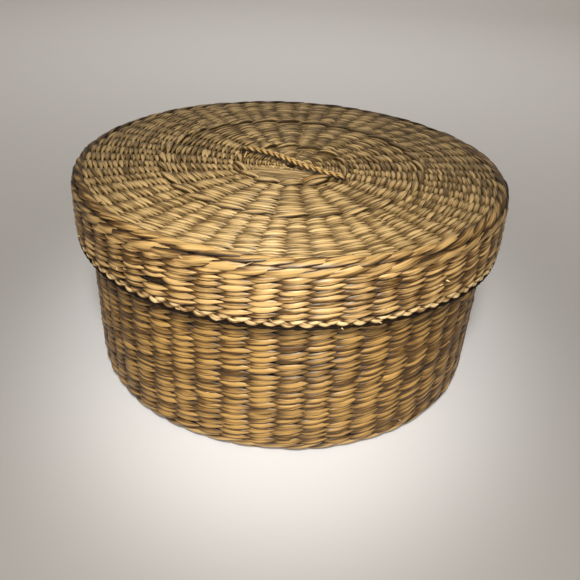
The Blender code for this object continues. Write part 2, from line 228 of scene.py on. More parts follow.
@dataclass(frozen=True)
class StrawFinish:
    """Straw of one batch: its range of colour, its streaks and its sheen.

    Colours run from deep over middle to pale, and crests are painted paler as a painted highlight.
    Shade is the colour of the painted shade in the valleys between straws.
    """

    name: str
    deep: Colour
    middle: Colour
    pale: Colour
    shade: Colour = (26, 14, 4)
    shade_share: float = 0.8
    roughness: float = 0.44
    streak_share: float = 1.0
    crest_highlight_share: float = 0.9
    bump: float = 0.4
    gloss: float = 0.65
    gloss_tint: tuple[float, float, float, float] = (1.0, 0.92, 0.74, 1.0)
    colour_places: tuple[float, float, float] = (0.1, 0.5, 0.9)
    fine_scale: Point = (90.0, 1800.0, 1.0)
    fine_detail: float = 3.0
    broad_scale: Point = (55.0, 700.0, 1.0)
    broad_detail: float = 2.0
    broad_share: float = 1.2
    crest_highlight_level: float = 0.75
    valley_level: float = 0.7
    valley_roughness: float = 0.5
    smoother: float = 0.08
    rougher: float = 0.1
    bump_height: float = 0.3 * MM

    def material(self) -> bpy.types.Material:
        """Build the material once, and give it again when it is asked for again.

        Returns:
            The material of this batch of straw.
        """
        made = bpy.data.materials.get(self.name)
        return made if made else self._build()

    def _build(self) -> bpy.types.Material:
        """Wire the nodes of the straw.

        Returns:
            The new material.
        """
        material = bpy.data.materials.new(self.name)
        material.use_nodes = True
        wiring = Wiring(material.node_tree)
        shader = material.node_tree.nodes["Principled BSDF"]
        fibre = wiring.attribute("fibre").outputs["Vector"]
        tone, proud = (wiring.attribute(name).outputs["Fac"] for name in ("tone", "proud"))
        fine = wiring.streaks(fibre, self.fine_scale, self.fine_detail)
        broad = wiring.streaks(fibre, self.broad_scale, self.broad_detail)
        grain = wiring.arithmetic(
            "ADD",
            wiring.centred(fine, 0.5, self.streak_share),
            wiring.centred(broad, 0.5, self.streak_share * self.broad_share),
        )
        # Painted highlight: where proud is high, on the crests, the colour is moved towards pale.
        crest = wiring.centred(proud, self.crest_highlight_level, self.crest_highlight_share)
        place = wiring.arithmetic("ADD", wiring.arithmetic("ADD", tone, crest), grain)
        # Painted shade: where proud is low, in the valleys and at the edges, the colour is mixed
        # towards the shade colour.
        valley = wiring.spread(proud, self.valley_level, (self.shade_share, 0.0))
        wiring.join(self._colour(wiring, place, valley), shader.inputs["Base Color"])

        smooth_to_rough = (self.roughness - self.smoother, self.roughness + self.rougher)
        rough = wiring.spread(fine, 1.0, smooth_to_rough)
        duller = wiring.arithmetic("MULTIPLY", valley, self.valley_roughness)
        wiring.join(wiring.arithmetic("ADD", rough, duller), shader.inputs["Roughness"])
        bump = wiring.add("ShaderNodeBump")
        bump.inputs["Strength"].default_value = self.bump
        bump.inputs["Distance"].default_value = self.bump_height
        wiring.join(fine, bump.inputs["Height"])
        wiring.join(bump.outputs["Normal"], shader.inputs["Normal"])
        shader.inputs["Specular IOR Level"].default_value = self.gloss
        shader.inputs["Specular Tint"].default_value = self.gloss_tint
        return material

    def _colour(self, wiring: Wiring, place: Socket, valley: Socket) -> Socket:
        """Mix the straw's colour, with the painted shade of the valleys.

        Args:
            wiring: nodes of the material.
            place: place in the range from deep to pale.
            valley: share of the painted shade.

        Returns:
            The colour.
        """
        ramp = wiring.add("ShaderNodeValToRGB")
        first, middle, last = self.colour_places
        ramp.color_ramp.elements[0].position = first
        ramp.color_ramp.elements[0].color = linear(self.deep)
        ramp.color_ramp.elements[1].position = last
        ramp.color_ramp.elements[1].color = linear(self.pale)
        ramp.color_ramp.elements.new(middle).color = linear(self.middle)
        wiring.join(place, ramp.inputs["Fac"])
        # The second colour of the mix is the painted shade of the valleys.
        share, unshaded, painted_shade, mixed = wiring.colour_mix()
        painted_shade.default_value = linear(self.shade)
        wiring.join(valley, share)
        wiring.join(ramp.outputs["Color"], unshaded)
        return mixed


@dataclass(frozen=True)
class Finishes:
    """Straws of the basket."""

    weft: StrawFinish = StrawFinish("golden weft straw", (38, 20, 3), (84, 54, 14), (184, 142, 76))
    # Weft straw with a paler pale end on the lid's side: painted highlight.
    skirt: StrawFinish = StrawFinish("skirt straw paled as painted highlight", (38, 20, 3), (86, 56, 17), (204, 164, 102))
    # Straw of the top: its greyer colours are painted sheen, and its lighter shade colour and share
    # paint weaker shade in the valleys.
    lid_weft: StrawFinish = StrawFinish(
        "weft straw greyed as painted sheen",
        (64, 44, 17),
        (108, 82, 41),
        (200, 167, 111),
        shade=(54, 38, 17),
        shade_share=0.55,
        streak_share=1.1,
        bump=0.6,
    )
    # Weft-like straw with a paler pale end: painted highlight on the waling.
    wale: StrawFinish = StrawFinish(
        "waling straw paled as painted highlight", (38, 20, 3), (86, 57, 20), (194, 156, 95), shade_share=0.7
    )
    border: StrawFinish = StrawFinish(
        "bleached border straw",
        (62, 38, 12),
        (140, 102, 52),
        (228, 198, 142),
        roughness=0.45,
        streak_share=1.2,
    )
    # Near-black straw of the plait under the lid's border: painted shade.
    shaded: StrawFinish = StrawFinish(
        "border underside straw in painted shade", (10, 7, 5), (18, 12, 8), (34, 24, 16), roughness=0.6, gloss=0.1
    )
    stake: StrawFinish = StrawFinish(
        "stake straw", (60, 40, 16), (100, 70, 32), (140, 106, 56), roughness=0.55
    )
    grip: StrawFinish = StrawFinish("grip straw", (58, 36, 10), (132, 96, 42), (206, 168, 102))


@dataclass(frozen=True)
class WovenWall:
    """Middle line of a woven wall, turned round the basket's axis.

    The line is given by its radii and heights. Depth out of the wall points up or outward where
    the line runs up or inward. Swells are the size, number round the basket and offset of the
    waves that make it a little out of round, in shares of the unevenness.
    """

    radii: tuple[float, ...]
    heights: tuple[float, ...]
    unevenness: float = 0.35 * MM
    full_radius: float = 0.1
    probe: float = 0.6 * MM
    swells: ClassVar[tuple[Point, ...]] = ((1.0, 2, 0.6), (0.5, 3, 1.9), (0.2, 7, 0.4))

    @property
    def lengths(self) -> np.ndarray:
        """Length along the line at each of its points."""
        steps = np.hypot(np.diff(self.radii), np.diff(self.heights))
        return np.concatenate([[0.0], np.cumsum(steps)])

    @property
    def length(self) -> float:
        """Whole length of the line."""
        return float(self.lengths[-1])

    def at_height(self, height: float) -> float:
        """Length at which the line reaches a height, on its upright part."""
        order = np.argsort(self.heights, kind="stable")
        return float(np.interp(height, np.array(self.heights)[order], self.lengths[order]))

    def at_radius(self, radius: float) -> float:
        """Length at which the line reaches a radius, on its level part."""
        order = np.argsort(self.radii, kind="stable")
        return float(np.interp(radius, np.array(self.radii)[order], self.lengths[order]))

    def outward(self, along: np.ndarray) -> tuple[np.ndarray, np.ndarray]:
        """Find the way out of the wall.

        Args:
            along: lengths along the line.

        Returns:
            Its part away from the axis and its part upward, of unit length.
        """
        lengths = self.lengths
        radii = [np.interp(along + side * self.probe, lengths, self.radii) for side in (-1, 1)]
        heights = [np.interp(along + side * self.probe, lengths, self.heights) for side in (-1, 1)]
        radial, upward = radii[1] - radii[0], heights[1] - heights[0]
        size = np.hypot(radial, upward)
        return upward / size, -radial / size

    def place(
        self, angle: np.ndarray, along: np.ndarray, depth: np.ndarray | float
    ) -> tuple[np.ndarray, np.ndarray]:
        """Find points of the wall.

        Args:
            angle: directions from the basket's front, in radians.
            along: lengths along the line.
            depth: depths out of the wall.

        Returns:
            The points, and the way out of the wall at each.
        """
        away, upward = self.outward(along)
        radius = np.interp(along, self.lengths, self.radii) + depth * away
        height = np.interp(along, self.lengths, self.heights) + depth * upward
        swell = sum(size * np.sin(number * angle + offset) for size, number, offset in self.swells)
        radius = radius + self.unevenness * swell * np.clip(radius / self.full_radius, 0, 1) ** 2
        turned = np.stack([np.sin(angle), -np.cos(angle)], axis=-1)
        points = np.concatenate([turned * radius[..., None], height[..., None]], axis=-1)
        normals = np.concatenate([turned * away[..., None], upward[..., None]], axis=-1)
        return points, normals


def next_stations(shape: tuple[int, ...]) -> np.ndarray:
    """Number the station that follows each one of open strands, laid out strand by strand.

    Args:
        shape: number of strands and of stations in each, or of stations alone.

    Returns:
        Index of the next station, or -1 at a strand's end.
    """
    after = np.arange(math.prod(shape)).reshape(shape) + 1
    after[..., -1] = -1
    return after


@dataclass
class StrawMesh:
    """Mesh that strands of straw are gathered in, with the values that their finish reads.

    Edge shade is painted shade on a straw's edges: it says how much deeper than its middle they are
    taken to lie, so that the finish paints them darker.
    """

    name: str
    edge_shade: float = 0.9
    points: list[np.ndarray] = field(default_factory=list)
    faces: list[np.ndarray] = field(default_factory=list)
    tones: list[np.ndarray] = field(default_factory=list)
    prouds: list[np.ndarray] = field(default_factory=list)
    fibres: list[np.ndarray] = field(default_factory=list)
    count: int = 0

    def sweep(
        self,
        centre: np.ndarray,
        normal: np.ndarray,
        width: np.ndarray,
        thickness: np.ndarray,
        after: np.ndarray,
        roll: np.ndarray,
        tone: np.ndarray,
        proud: np.ndarray,
        along: np.ndarray,
        seed: np.ndarray,
    ) -> None:
        """Sweep the strands' flattened section along their stations.

        Args:
            centre: middle of each station.
            normal: way out of the wall at each station.
            width: width of the straw at each station.
            thickness: thickness of the straw at each station.
            after: index of the next station, or -1 where a strand ends.
            roll: turn of the section about the strand.
            tone: place in the finish's range of colour.
            proud: 0 deep behind the stakes to 1 on a crest, which the finish turns into painted
                shade and painted highlight.
            along: length along the straw.
            seed: number that tells one strand's grain from another's.
        """
        stations = len(centre)
        open_end = after < 0
        before = np.full(stations, -1)
        before[after[~open_end]] = np.flatnonzero(~open_end)
        open_start = before < 0
        here = np.arange(stations)
        ahead = centre[np.where(open_end, here, after)]
        behind = centre[np.where(open_start, here, before)]
        way = ahead - behind
        way /= np.maximum(np.linalg.norm(way, axis=1, keepdims=True), TINY)
        across = np.cross(normal, way)
        across /= np.maximum(np.linalg.norm(across, axis=1, keepdims=True), TINY)
        out = np.cross(way, across)
        turn, lean = np.cos(roll)[:, None], np.sin(roll)[:, None]
        across, out = across * turn + out * lean, out * turn - across * lean
        cosine, sine = np.cos(SECTION_TURNS), np.sin(SECTION_TURNS)
        side = (width[:, None] / 2) * cosine
        rise = (thickness[:, None] / 2) * sine
        rings = centre[:, None] + across[:, None] * side[..., None] + out[:, None] * rise[..., None]

        self.faces.append(self._skin(here, after, open_start) + self.count)
        self.points.append(rings.reshape(-1, 3))
        self.tones.append(np.repeat(tone, SECTION_POINTS))
        # Painted shade: the section's edges get a lower proud, so the finish paints them darker.
        edges = self.edge_shade * np.abs(cosine) ** EDGE_SHARPNESS
        self.prouds.append((proud[:, None] - edges).ravel())
        lengths, strands = (np.repeat(v[:, None], SECTION_POINTS, 1) for v in (along, seed))
        self.fibres.append(np.stack([lengths, side + rise, strands], -1).reshape(-1, 3))
        self.count += stations * SECTION_POINTS

    @staticmethod
    def _skin(here: np.ndarray, after: np.ndarray, open_start: np.ndarray) -> np.ndarray:
        """Join each section to the next one, and close the strands' open ends.

        Args:
            here: index of each station.
            after: index of the next station, or -1 where a strand ends.
            open_start: whether a strand starts at the station.

        Returns:
            Four corners of each face.
        """
        open_end = after < 0
        first = here[~open_end][:, None] * SECTION_POINTS
        second = after[~open_end][:, None] * SECTION_POINTS
        corner = np.arange(SECTION_POINTS)
        turned = (corner + 1) % SECTION_POINTS
        walls = np.stack([first + corner, first + turned, second + turned, second + corner], -1)
        ends = here[open_end][:, None, None] * SECTION_POINTS + SECTION_CAP
        starts = here[open_start][:, None, None] * SECTION_POINTS + SECTION_CAP[:, ::-1]
        return np.concatenate([walls.reshape(-1, 4), ends.reshape(-1, 4), starts.reshape(-1, 4)])

    def piece(
        self, finish: StrawFinish, body: str, slot: str, replaces: tuple[str, ...] = ()
    ) -> bpy.types.Object:
        """Make the object, dress it, and fasten it to its body.

        Args:
            finish: straw that it is made of.
            body: body of the frame that it moves with.
            slot: material slot of the record that its finish belongs to; not used.
            replaces: nodes of the frame that it stands for.

        Returns:
            The finished object.
        """
        points = np.concatenate(self.points)
        faces = np.concatenate(self.faces)
        mesh = bpy.data.meshes.new(self.name)
        mesh.vertices.add(len(points))
        mesh.vertices.foreach_set("co", points.ravel())
        mesh.loops.add(faces.size)
        mesh.loops.foreach_set("vertex_index", faces.ravel().astype(np.int32))
        mesh.polygons.add(len(faces))
        mesh.polygons.foreach_set("loop_start", np.arange(len(faces), dtype=np.int32) * 4)
        mesh.update(calc_edges=True)
        mesh.shade_smooth()
        for name, values in (("tone", self.tones), ("proud", self.prouds)):
            layer = mesh.attributes.new(name, "FLOAT", "POINT")
            layer.data.foreach_set("value", np.concatenate(values))
        layer = mesh.attributes.new("fibre", "FLOAT_VECTOR", "POINT")
        layer.data.foreach_set("vector", np.concatenate(self.fibres).ravel())
        mesh.materials.append(finish.material())
        item = bpy.data.objects.new(self.name, mesh)
        bpy.context.scene.collection.objects.link(item)
        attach(item, body)
        if replaces:
            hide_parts(*replaces)
        return item


@dataclass(frozen=True)
class Stakes:
    """Stakes of a wall, counted from the back, with the uneven gaps between them."""

    count: int
    middle_at: float
    seed: int
    unevenness: float = 0.07

    @property
    def gaps(self) -> np.ndarray:
        """Angle of each gap, from one at the back round to itself.

        Returns:
            The angles, one more than there are stakes.
        """
        step = math.tau / self.count
        first = self.middle_at - step / 2 - round(math.pi / step) * step
        drift = np.random.default_rng(self.seed).uniform(-1, 1, self.count) * self.unevenness * step
        angles = first + np.arange(self.count) * step + drift
        return np.append(angles, angles[0] + math.tau)

    def angle(self, place: np.ndarray) -> np.ndarray:
        """Angle of a place that is counted in stakes, with whole numbers at the gaps."""
        return np.interp(place, np.arange(self.count + 1), self.gaps)

    @property
    def middles(self) -> np.ndarray:
        """Angle of each stake."""
        gaps = self.gaps
        return (gaps[1:] + gaps[:-1]) / 2


def level_runs(
    rng: np.random.Generator, shape: tuple[int, int, int], change: float, spread: float
) -> np.ndarray:
    """Draw levels that hold for a run of stitches, as each straw lasts until it is replaced.

    Args:
        rng: source of the chances.
        shape: rounds, strands, and stitches in a strand.
        change: chance that a new straw starts at a stitch.
        spread: spread of the levels round a half.

    Returns:
        The level of each stitch.
    """
    levels = np.clip(rng.normal(0.5, spread, shape), *LEVEL_RANGE)
    place = np.where(rng.random(shape) < change, np.arange(shape[2]), 0)
    return np.take_along_axis(levels, np.maximum.accumulate(place, axis=2), axis=2)


@dataclass(frozen=True)
class TwinedRounds:
    """Rounds of weft that cross between the stakes of a wall.

    In front of a stake a strand shows as a leaf, which starts narrow (start_share), swells and
    ends in a tip (tip_share). The leaf starts earlier than its gap by lead and ends later by
    reach, both in turns, so that its tip lies over the next one. Slant is how far it crosses its
    row, tip_up the tilt of its face, and narrowing what its width loses at the sides of the basket.
    As painted light, fade sets how much paler the front, which faces the lamps, is painted than
    the sides and back, and painted_inside_light how much paler the hidden side, which lies in
    shade, is painted. Broken lists the round and the column of stitches that are worn through; what
    is left of such a stitch is painted darker, as painted shade in its hole. Spreads are those of
    the chances that each stitch, crossing or row has. Each wave of the rows has a size, a number
    round the basket, a drift from row to row and an offset. Along each leaf the proud profiles
    paint shade at its start, where it comes out from under the last tip, and a highlight on its
    middle.
    """

    wall: WovenWall
    stakes: Stakes
    start: float
    pitch: float
    rounds: int
    seed: int
    technique: Technique = Technique.PAIRING
    fineness: int = 6
    depth: float = 1.5 * MM
    thickness: float = 1.6 * MM
    edge_thickness_share: float = 0.5
    fullness: float = 1.22
    start_share: float = 0.26
    tip_share: float = 0.12
    slant: float = 0.28
    lead: float = 0.08
    reach: float = 0.21
    tip_up: float = 0.27
    narrowing: float = 0.0
    broken: tuple[tuple[int, int], ...] = ()
    worn_share: float = 0.85
    waviness: float = 0.25 * MM
    tone_shift: float = -0.17
    tone_spread: float = 0.06
    fade: float = 0.28
    painted_inside_light: float = 0.3
    stitches_to_a_straw: int = 9
    depth_spread: float = 0.1 * MM
    slant_spread: float = 0.15
    crossing_spread: float = 0.05
    row_spread: float = 0.03
    height_spread: float = 0.05
    width_spread: float = 0.07
    roll_spread: float = 0.14
    stitch_tone_spread: float = 0.05
    front_depth: ClassVar[Profile] = Profile(
        (0.0, 0.15, 0.35, 0.55, 0.8, 1.0), (0.05, 0.6, 0.92, 1.0, 0.9, 0.55)
    )
    back_depth: ClassVar[Profile] = Profile(
        (0.0, 0.15, 0.5, 0.85, 1.0), (0.4, -0.3, -0.7, -0.5, -0.1)
    )
    # Painted shade and painted highlight along a leaf: a low proud at its start, where it comes out
    # from under the last tip, paints it darker, and a high one paints its middle paler.
    front_proud: ClassVar[Profile] = Profile(
        (0.0, 0.12, 0.35, 0.55, 0.8, 1.0), (0.3, 0.6, 0.9, 1.05, 0.95, 0.75)
    )
    back_proud: ClassVar[Profile] = Profile((0.0, 0.3, 0.7, 1.0), (0.4, 0.95, 0.95, 0.3))
    leaf_widths: ClassVar[tuple[float, ...]] = (0.62, 0.97, 1.0, 0.62)
    hidden_widths: ClassVar[tuple[float, ...]] = (0.95, 1.1, 0.95)
    side_angles: ClassVar[tuple[float, float]] = (0.8, 1.3)
    waves: ClassVar[tuple[tuple[float, ...], ...]] = ((1.0, 3, 90, 0.0), (0.6, 8, -140, 2.0))
    grain_step: ClassVar[float] = 7.31

    @property
    def front_width(self) -> Profile:
        """Width of a strand along its leaf, as a share of the full one."""
        values = (self.start_share, *self.leaf_widths, self.tip_share)
        return Profile((0.0, 0.15, 0.35, 0.62, 0.82, 1.0), values)

    @property
    def back_width(self) -> Profile:
        """Width of a strand along its hidden part, as a share of the full one."""
        values = (self.tip_share, *self.hidden_widths, self.start_share)
        return Profile((0.0, 0.2, 0.5, 0.8, 1.0), values)

    def weave(self, mesh: StrawMesh) -> None:
        """Add every strand of every round to the mesh.

        Args:
            mesh: mesh that the strands go into.
        """
        rng = np.random.default_rng(self.seed)
        strands, columns = self.technique.strands, self.stakes.count
        stations = columns * self.fineness
        place = (np.arange(stations) / self.fineness)[None, None, :]
        strand = np.arange(strands)[None, :, None]
        turn = np.broadcast_to(
            (place + strand) / strands + self.lead, (self.rounds, strands, stations)
        )
        share = turn % 1.0
        stitch = (strands * np.floor(turn) - strand).astype(int) % columns
        number = np.arange(self.rounds)[:, None, None]

        shown = self.technique.front_share + self.reach
        in_front = share < shown
        rise = np.where(in_front, share / shown, (share - shown) / (1 - shown))
        crest = np.sin(math.pi * rise)

        def chance(spread: float) -> np.ndarray:
            """A chance of its own for each stitch, given at every station of the stitch."""
            return rng.normal(0, spread, (self.rounds, columns))[number, stitch]

        broken = np.zeros((self.rounds, columns))
        for spot in self.broken:
            broken[spot] = 1.0
        left = 1 - self.worn_share * broken[number, stitch] * in_front
        depth = self.depth * np.where(in_front, self.front_depth.at(rise), self.back_depth.at(rise))
        depth = depth + chance(self.depth_spread) * crest
        lean = self.slant * (1 + chance(self.slant_spread))
        slope = np.where(in_front, -1.0, 1.0) * np.cos(math.pi * rise)
        shifted = place + self._crossing_shift(rng, place, number)
        angle = self.stakes.angle(np.clip(shifted, 0, columns)) + 0 * turn
        row = number + 0.5 + rng.normal(0, self.row_spread, (self.rounds, 1, 1))
        along = self.start + self.pitch * row
        along = along + self.pitch * (lean * slope + chance(self.height_spread) * crest)
        along = along + self._rise_and_fall(angle, along)

        width = self.pitch * self.fullness
        width = width * np.where(in_front, self.front_width.at(rise), self.back_width.at(rise))
        width = width * (1 + chance(self.width_spread) * crest)
        aside = np.abs((angle + math.pi) % math.tau - math.pi)
        width = width * np.interp(aside, self.side_angles, (1.0, 1.0 - self.narrowing)) * left
        thickness = self.edge_thickness_share + (1 - self.edge_thickness_share) * crest
        roll = (chance(self.roll_spread) - self.tip_up) * crest
        in_strand = -(-columns // strands) + 1
        shape = (self.rounds, strands, in_strand)
        levels = level_runs(rng, shape, 1 / self.stitches_to_a_straw, self.tone_spread)
        tone = levels[number, (-stitch) % strands, -(-stitch // strands)]
        tone = tone + chance(self.stitch_tone_spread) + self.tone_shift
        # Painted light: the front, which faces the lamps, is painted paler, and so is the hidden
        # side, which lies in shade.
        paler = self.fade * np.maximum(np.cos(angle), 0)
        tone = tone + np.where(in_front, paler, self.painted_inside_light)
        proud = np.where(in_front, self.front_proud.at(rise), self.back_proud.at(rise))

        points, normals = self.wall.place(angle, along, depth)
        mesh.sweep(
            points.reshape(-1, 3),
            normals.reshape(-1, 3),
            width.ravel(),
            (self.thickness * thickness).ravel(),
            self._after(stations).ravel(),
            roll.ravel(),
            tone.ravel(),
            # Painted shade: the rest of a worn-through stitch is painted darker, as its hole lies
            # in shade.
            (left * proud).ravel(),
            (np.hypot(points[..., 0], points[..., 1]) * angle).ravel(),
            (number * strands + strand + 0 * turn).ravel() * self.grain_step,
        )

    def _crossing_shift(
        self, rng: np.random.Generator, place: np.ndarray, number: np.ndarray
    ) -> np.ndarray:
        """Shift each crossing a little to the side, and what lies between two with them.

        Args:
            rng: source of the chances.
            place: place of each station, counted in stakes.
            number: number of each round.

        Returns:
            The shift at each station, counted in stakes.
        """
        crossing = rng.normal(0, self.crossing_spread, (self.rounds, self.stakes.count + 1))
        crossing[:, -1] = crossing[:, 0]
        gap = np.floor(place).astype(int)
        part = place - gap
        return crossing[number, gap] * (1 - part) + crossing[number, gap + 1] * part

    def _rise_and_fall(self, angle: np.ndarray, along: np.ndarray) -> np.ndarray:
        """Add up the waves of the rows.

        Args:
            angle: direction of each station.
            along: length along the wall's line at each station.

        Returns:
            How far each station is moved along the wall's line.
        """
        total = np.zeros_like(angle)
        for size, number, drift, offset in self.waves:
            total = total + size * np.sin(number * angle + drift * along + offset)
        return self.waviness * total

    def _after(self, stations: int) -> np.ndarray:
        """Number the station that follows each one, with the strands joined into rounds.

        Args:
            stations: number of stations in a round of one strand.

        Returns:
            Index of the next station.
        """
        strands = self.technique.strands
        shape = (self.rounds, strands, stations)
        after = next_stations(shape)
        following = (np.arange(strands) + self.stakes.count) % strands
        after[:, :, -1] = (np.arange(self.rounds)[:, None] * strands + following) * stations
        return after


@dataclass(frozen=True)
class StakeRow:
    """Flat stakes that stand side by side in a wall."""

    wall: WovenWall
    angles: np.ndarray
    start: float
    end: float
    seed: int
    width: float = 7.2 * MM
    thickness: float = 1.1 * MM
    step: float = 3 * MM
    wave: float = 0.1 * MM
    waves_to_a_metre: float = 1100
    fewest_stations: int = 4
    proud: float = 0.7
    tone_spread: float = 0.1
    grain_step: ClassVar[float] = 3.7

    def stand(self, mesh: StrawMesh) -> None:
        """Add the stakes to the mesh.

        Args:
            mesh: mesh that the stakes go into.
        """
        rng = np.random.default_rng(self.seed)
        stations = max(self.fewest_stations, round(abs(self.end - self.start) / self.step))
        along = np.linspace(self.start, self.end, stations)[None, :] + 0 * self.angles[:, None]
        angle = self.angles[:, None] + 0 * along
        depth = self.wave * np.sin(along * self.waves_to_a_metre)
        points, normals = self.wall.place(angle, along, depth)
        mesh.sweep(
            points.reshape(-1, 3),
            normals.reshape(-1, 3),
            np.full(angle.size, self.width),
            np.full(angle.size, self.thickness),
            next_stations(angle.shape).ravel(),
            np.zeros(angle.size),
            np.repeat(rng.normal(0.5, self.tone_spread, len(self.angles)), stations),
            np.full(angle.size, self.proud),
            along.ravel(),
            np.repeat(np.arange(len(self.angles)) * self.grain_step, stations),
        )


@dataclass(frozen=True)
class FlatStraps:
    """Broad flat straws laid side by side over the front of a hub, from edge to edge.

    The first one lies at its distance in front of the middle, and each next one a step further.
    Near its ends a straw dips into the weave, narrows and is painted darker as painted shade.
    """

    wall: WovenWall
    rim: float
    first: float
    step: float
    count: int
    seed: int
    turn: float = math.radians(-8)
    width: float = 5.2 * MM
    thickness: float = 1.1 * MM
    depth: float = 1.5 * MM
    dip: float = 1.2 * MM
    narrowing: float = 0.35
    skew: float = 0.3 * MM
    depth_spread: float = 0.12 * MM
    tilt: float = -0.08
    tone: float = 0.52
    spread: float = 0.05
    proud: float = 0.95
    proud_loss: float = 0.4
    stations: int = 17
    first_grain: ClassVar[float] = 1.7
    grain_step: ClassVar[float] = 4.1

    def lay(self, mesh: StrawMesh) -> None:
        """Add the straws to the mesh.

        Args:
            mesh: mesh that the straws go into.
        """
        rng = np.random.default_rng(self.seed)
        share = np.linspace(-1, 1, self.stations)
        flat = np.ones(self.stations)
        for index in range(self.count):
            offset = self.first + self.step * index
            along = share * math.sqrt(self.rim**2 - offset**2)
            lean = offset + rng.normal(0, self.skew) * share
            x = along * math.cos(self.turn) + lean * math.sin(self.turn)
            y = along * math.sin(self.turn) - lean * math.cos(self.turn)
            depth = self.depth - self.dip * np.abs(share) ** 3 + rng.normal(0, self.depth_spread)
            spot = self.wall.at_radius(0.0) - np.hypot(x, y)
            points, normals = self.wall.place(np.arctan2(x, -y), spot, depth)
            mesh.sweep(
                points,
                normals,
                self.width * (1 - self.narrowing * np.abs(share) ** 3),
                self.thickness * flat,
                next_stations((self.stations,)),
                rng.normal(self.tilt, self.spread) * flat,
                rng.normal(self.tone, self.spread) * flat,
                # Painted shade: the ends, where the straw dips into the weave, are painted darker.
                self.proud - self.proud_loss * np.abs(share) ** 4,
                along,
                (index * self.grain_step + self.first_grain) * flat,
            )


@dataclass(frozen=True)
class Tongue:
    """Broad pointed straw that lies on a top, drawn under its neighbours at its start."""

    wall: WovenWall
    start: tuple[float, float]
    end: tuple[float, float]
    width: float = 5.6 * MM
    thickness: float = 1.0 * MM
    depth: float = 3.3 * MM
    sunk: float = 1.6 * MM
    sunk_share: float = 0.4
    droop: float = 0.5 * MM
    length: float = 12 * MM
    tone: float = 0.55
    proud: float = 0.85
    grain: float = 17.3
    stations: int = 13
    outline: ClassVar[Profile] = Profile((0.0, 0.3, 0.6, 1.0), (0.8, 1.0, 0.85, 0.08))

    def lay(self, mesh: StrawMesh) -> None:
        """Add the straw to the mesh.

        Args:
            mesh: mesh that the straw goes into.
        """
        share = np.linspace(0, 1, self.stations)
        x, y = (first + (last - first) * share for first, last in zip(self.start, self.end))
        under = self.sunk * np.clip(1 - share / self.sunk_share, 0, 1) ** 2
        depth = self.depth - under - self.droop * share**3
        spot = self.wall.at_radius(0.0) - np.hypot(x, y)
        points, normals = self.wall.place(np.arctan2(x, -y), spot, depth)
        flat = np.ones(self.stations)
        mesh.sweep(
            points,
            normals,
            self.width * self.outline.at(share),
            self.thickness * flat,
            next_stations((self.stations,)),
            0 * flat,
            self.tone * flat,
            self.proud * flat,
            self.depth + self.length * share,
            self.grain * flat,
        )


@dataclass(frozen=True)
class LooseEnds:
    """Short pale ends of straw and fibres that stand a little off the weave.

    Ranges are shares of the size that they are named for, drawn anew for each end. An end's width
    falls from its first share by the taper, and its root lies deeper than the rest.
    """

    wall: WovenWall
    start: float
    end: float
    count: int
    seed: int
    depth: float = 2.1 * MM
    length: float = 3.5 * MM
    width: float = 0.8 * MM
    thickness: float = 0.35 * MM
    lift: float = 0.6 * MM
    root: float = 1.2 * MM
    heading_spread: float = 0.35
    curl_spread: float = 0.3
    curl_share: float = 0.15
    roll_spread: float = 0.5
    first_width: float = 1.05
    taper: float = 0.75
    stations: int = 6
    length_range: ClassVar[tuple[float, float]] = (0.5, 1.2)
    width_range: ClassVar[tuple[float, float]] = (0.5, 1.4)
    lift_range: ClassVar[tuple[float, float]] = (0.1, 1.0)
    tone_range: ClassVar[tuple[float, float]] = (0.3, 0.8)
    grain_step: ClassVar[float] = 2.9

    def scatter(self, mesh: StrawMesh) -> None:
        """Add the ends to the mesh.

        Args:
            mesh: mesh that the ends go into.
        """
        rng = np.random.default_rng(self.seed)
        each = (self.count, 1)
        share = np.linspace(0, 1, self.stations)[None, :]
        middle = rng.uniform(self.start, self.end, each)
        first = rng.uniform(0, math.tau, each)
        length = self.length * rng.uniform(*self.length_range, each)
        heading = rng.normal(0.0, self.heading_spread, each)
        curl = rng.normal(0.0, self.curl_spread, each)
        radius = np.interp(middle, self.wall.lengths, self.wall.radii)
        angle = first + length * share * np.cos(heading) / radius
        along = middle + length * (share * np.sin(heading) + self.curl_share * curl * share**2)
        rise = self.lift * rng.uniform(*self.lift_range, each) * share**1.5
        depth = self.depth - self.root * (1 - share) ** 2 + rise
        points, normals = self.wall.place(angle, along, depth)
        flat = np.ones_like(angle)
        narrowed = self.first_width - self.taper * share
        mesh.sweep(
            points.reshape(-1, 3),
            normals.reshape(-1, 3),
            (self.width * rng.uniform(*self.width_range, each) * narrowed).ravel(),
            (self.thickness * flat).ravel(),
            next_stations(angle.shape).ravel(),
            (rng.normal(0, self.roll_spread, each) * flat).ravel(),
            (rng.uniform(*self.tone_range, each) * flat).ravel(),
            flat.ravel(),
            (length * share).ravel(),
            (np.arange(self.count)[:, None] * self.grain_step * flat).ravel(),
        )


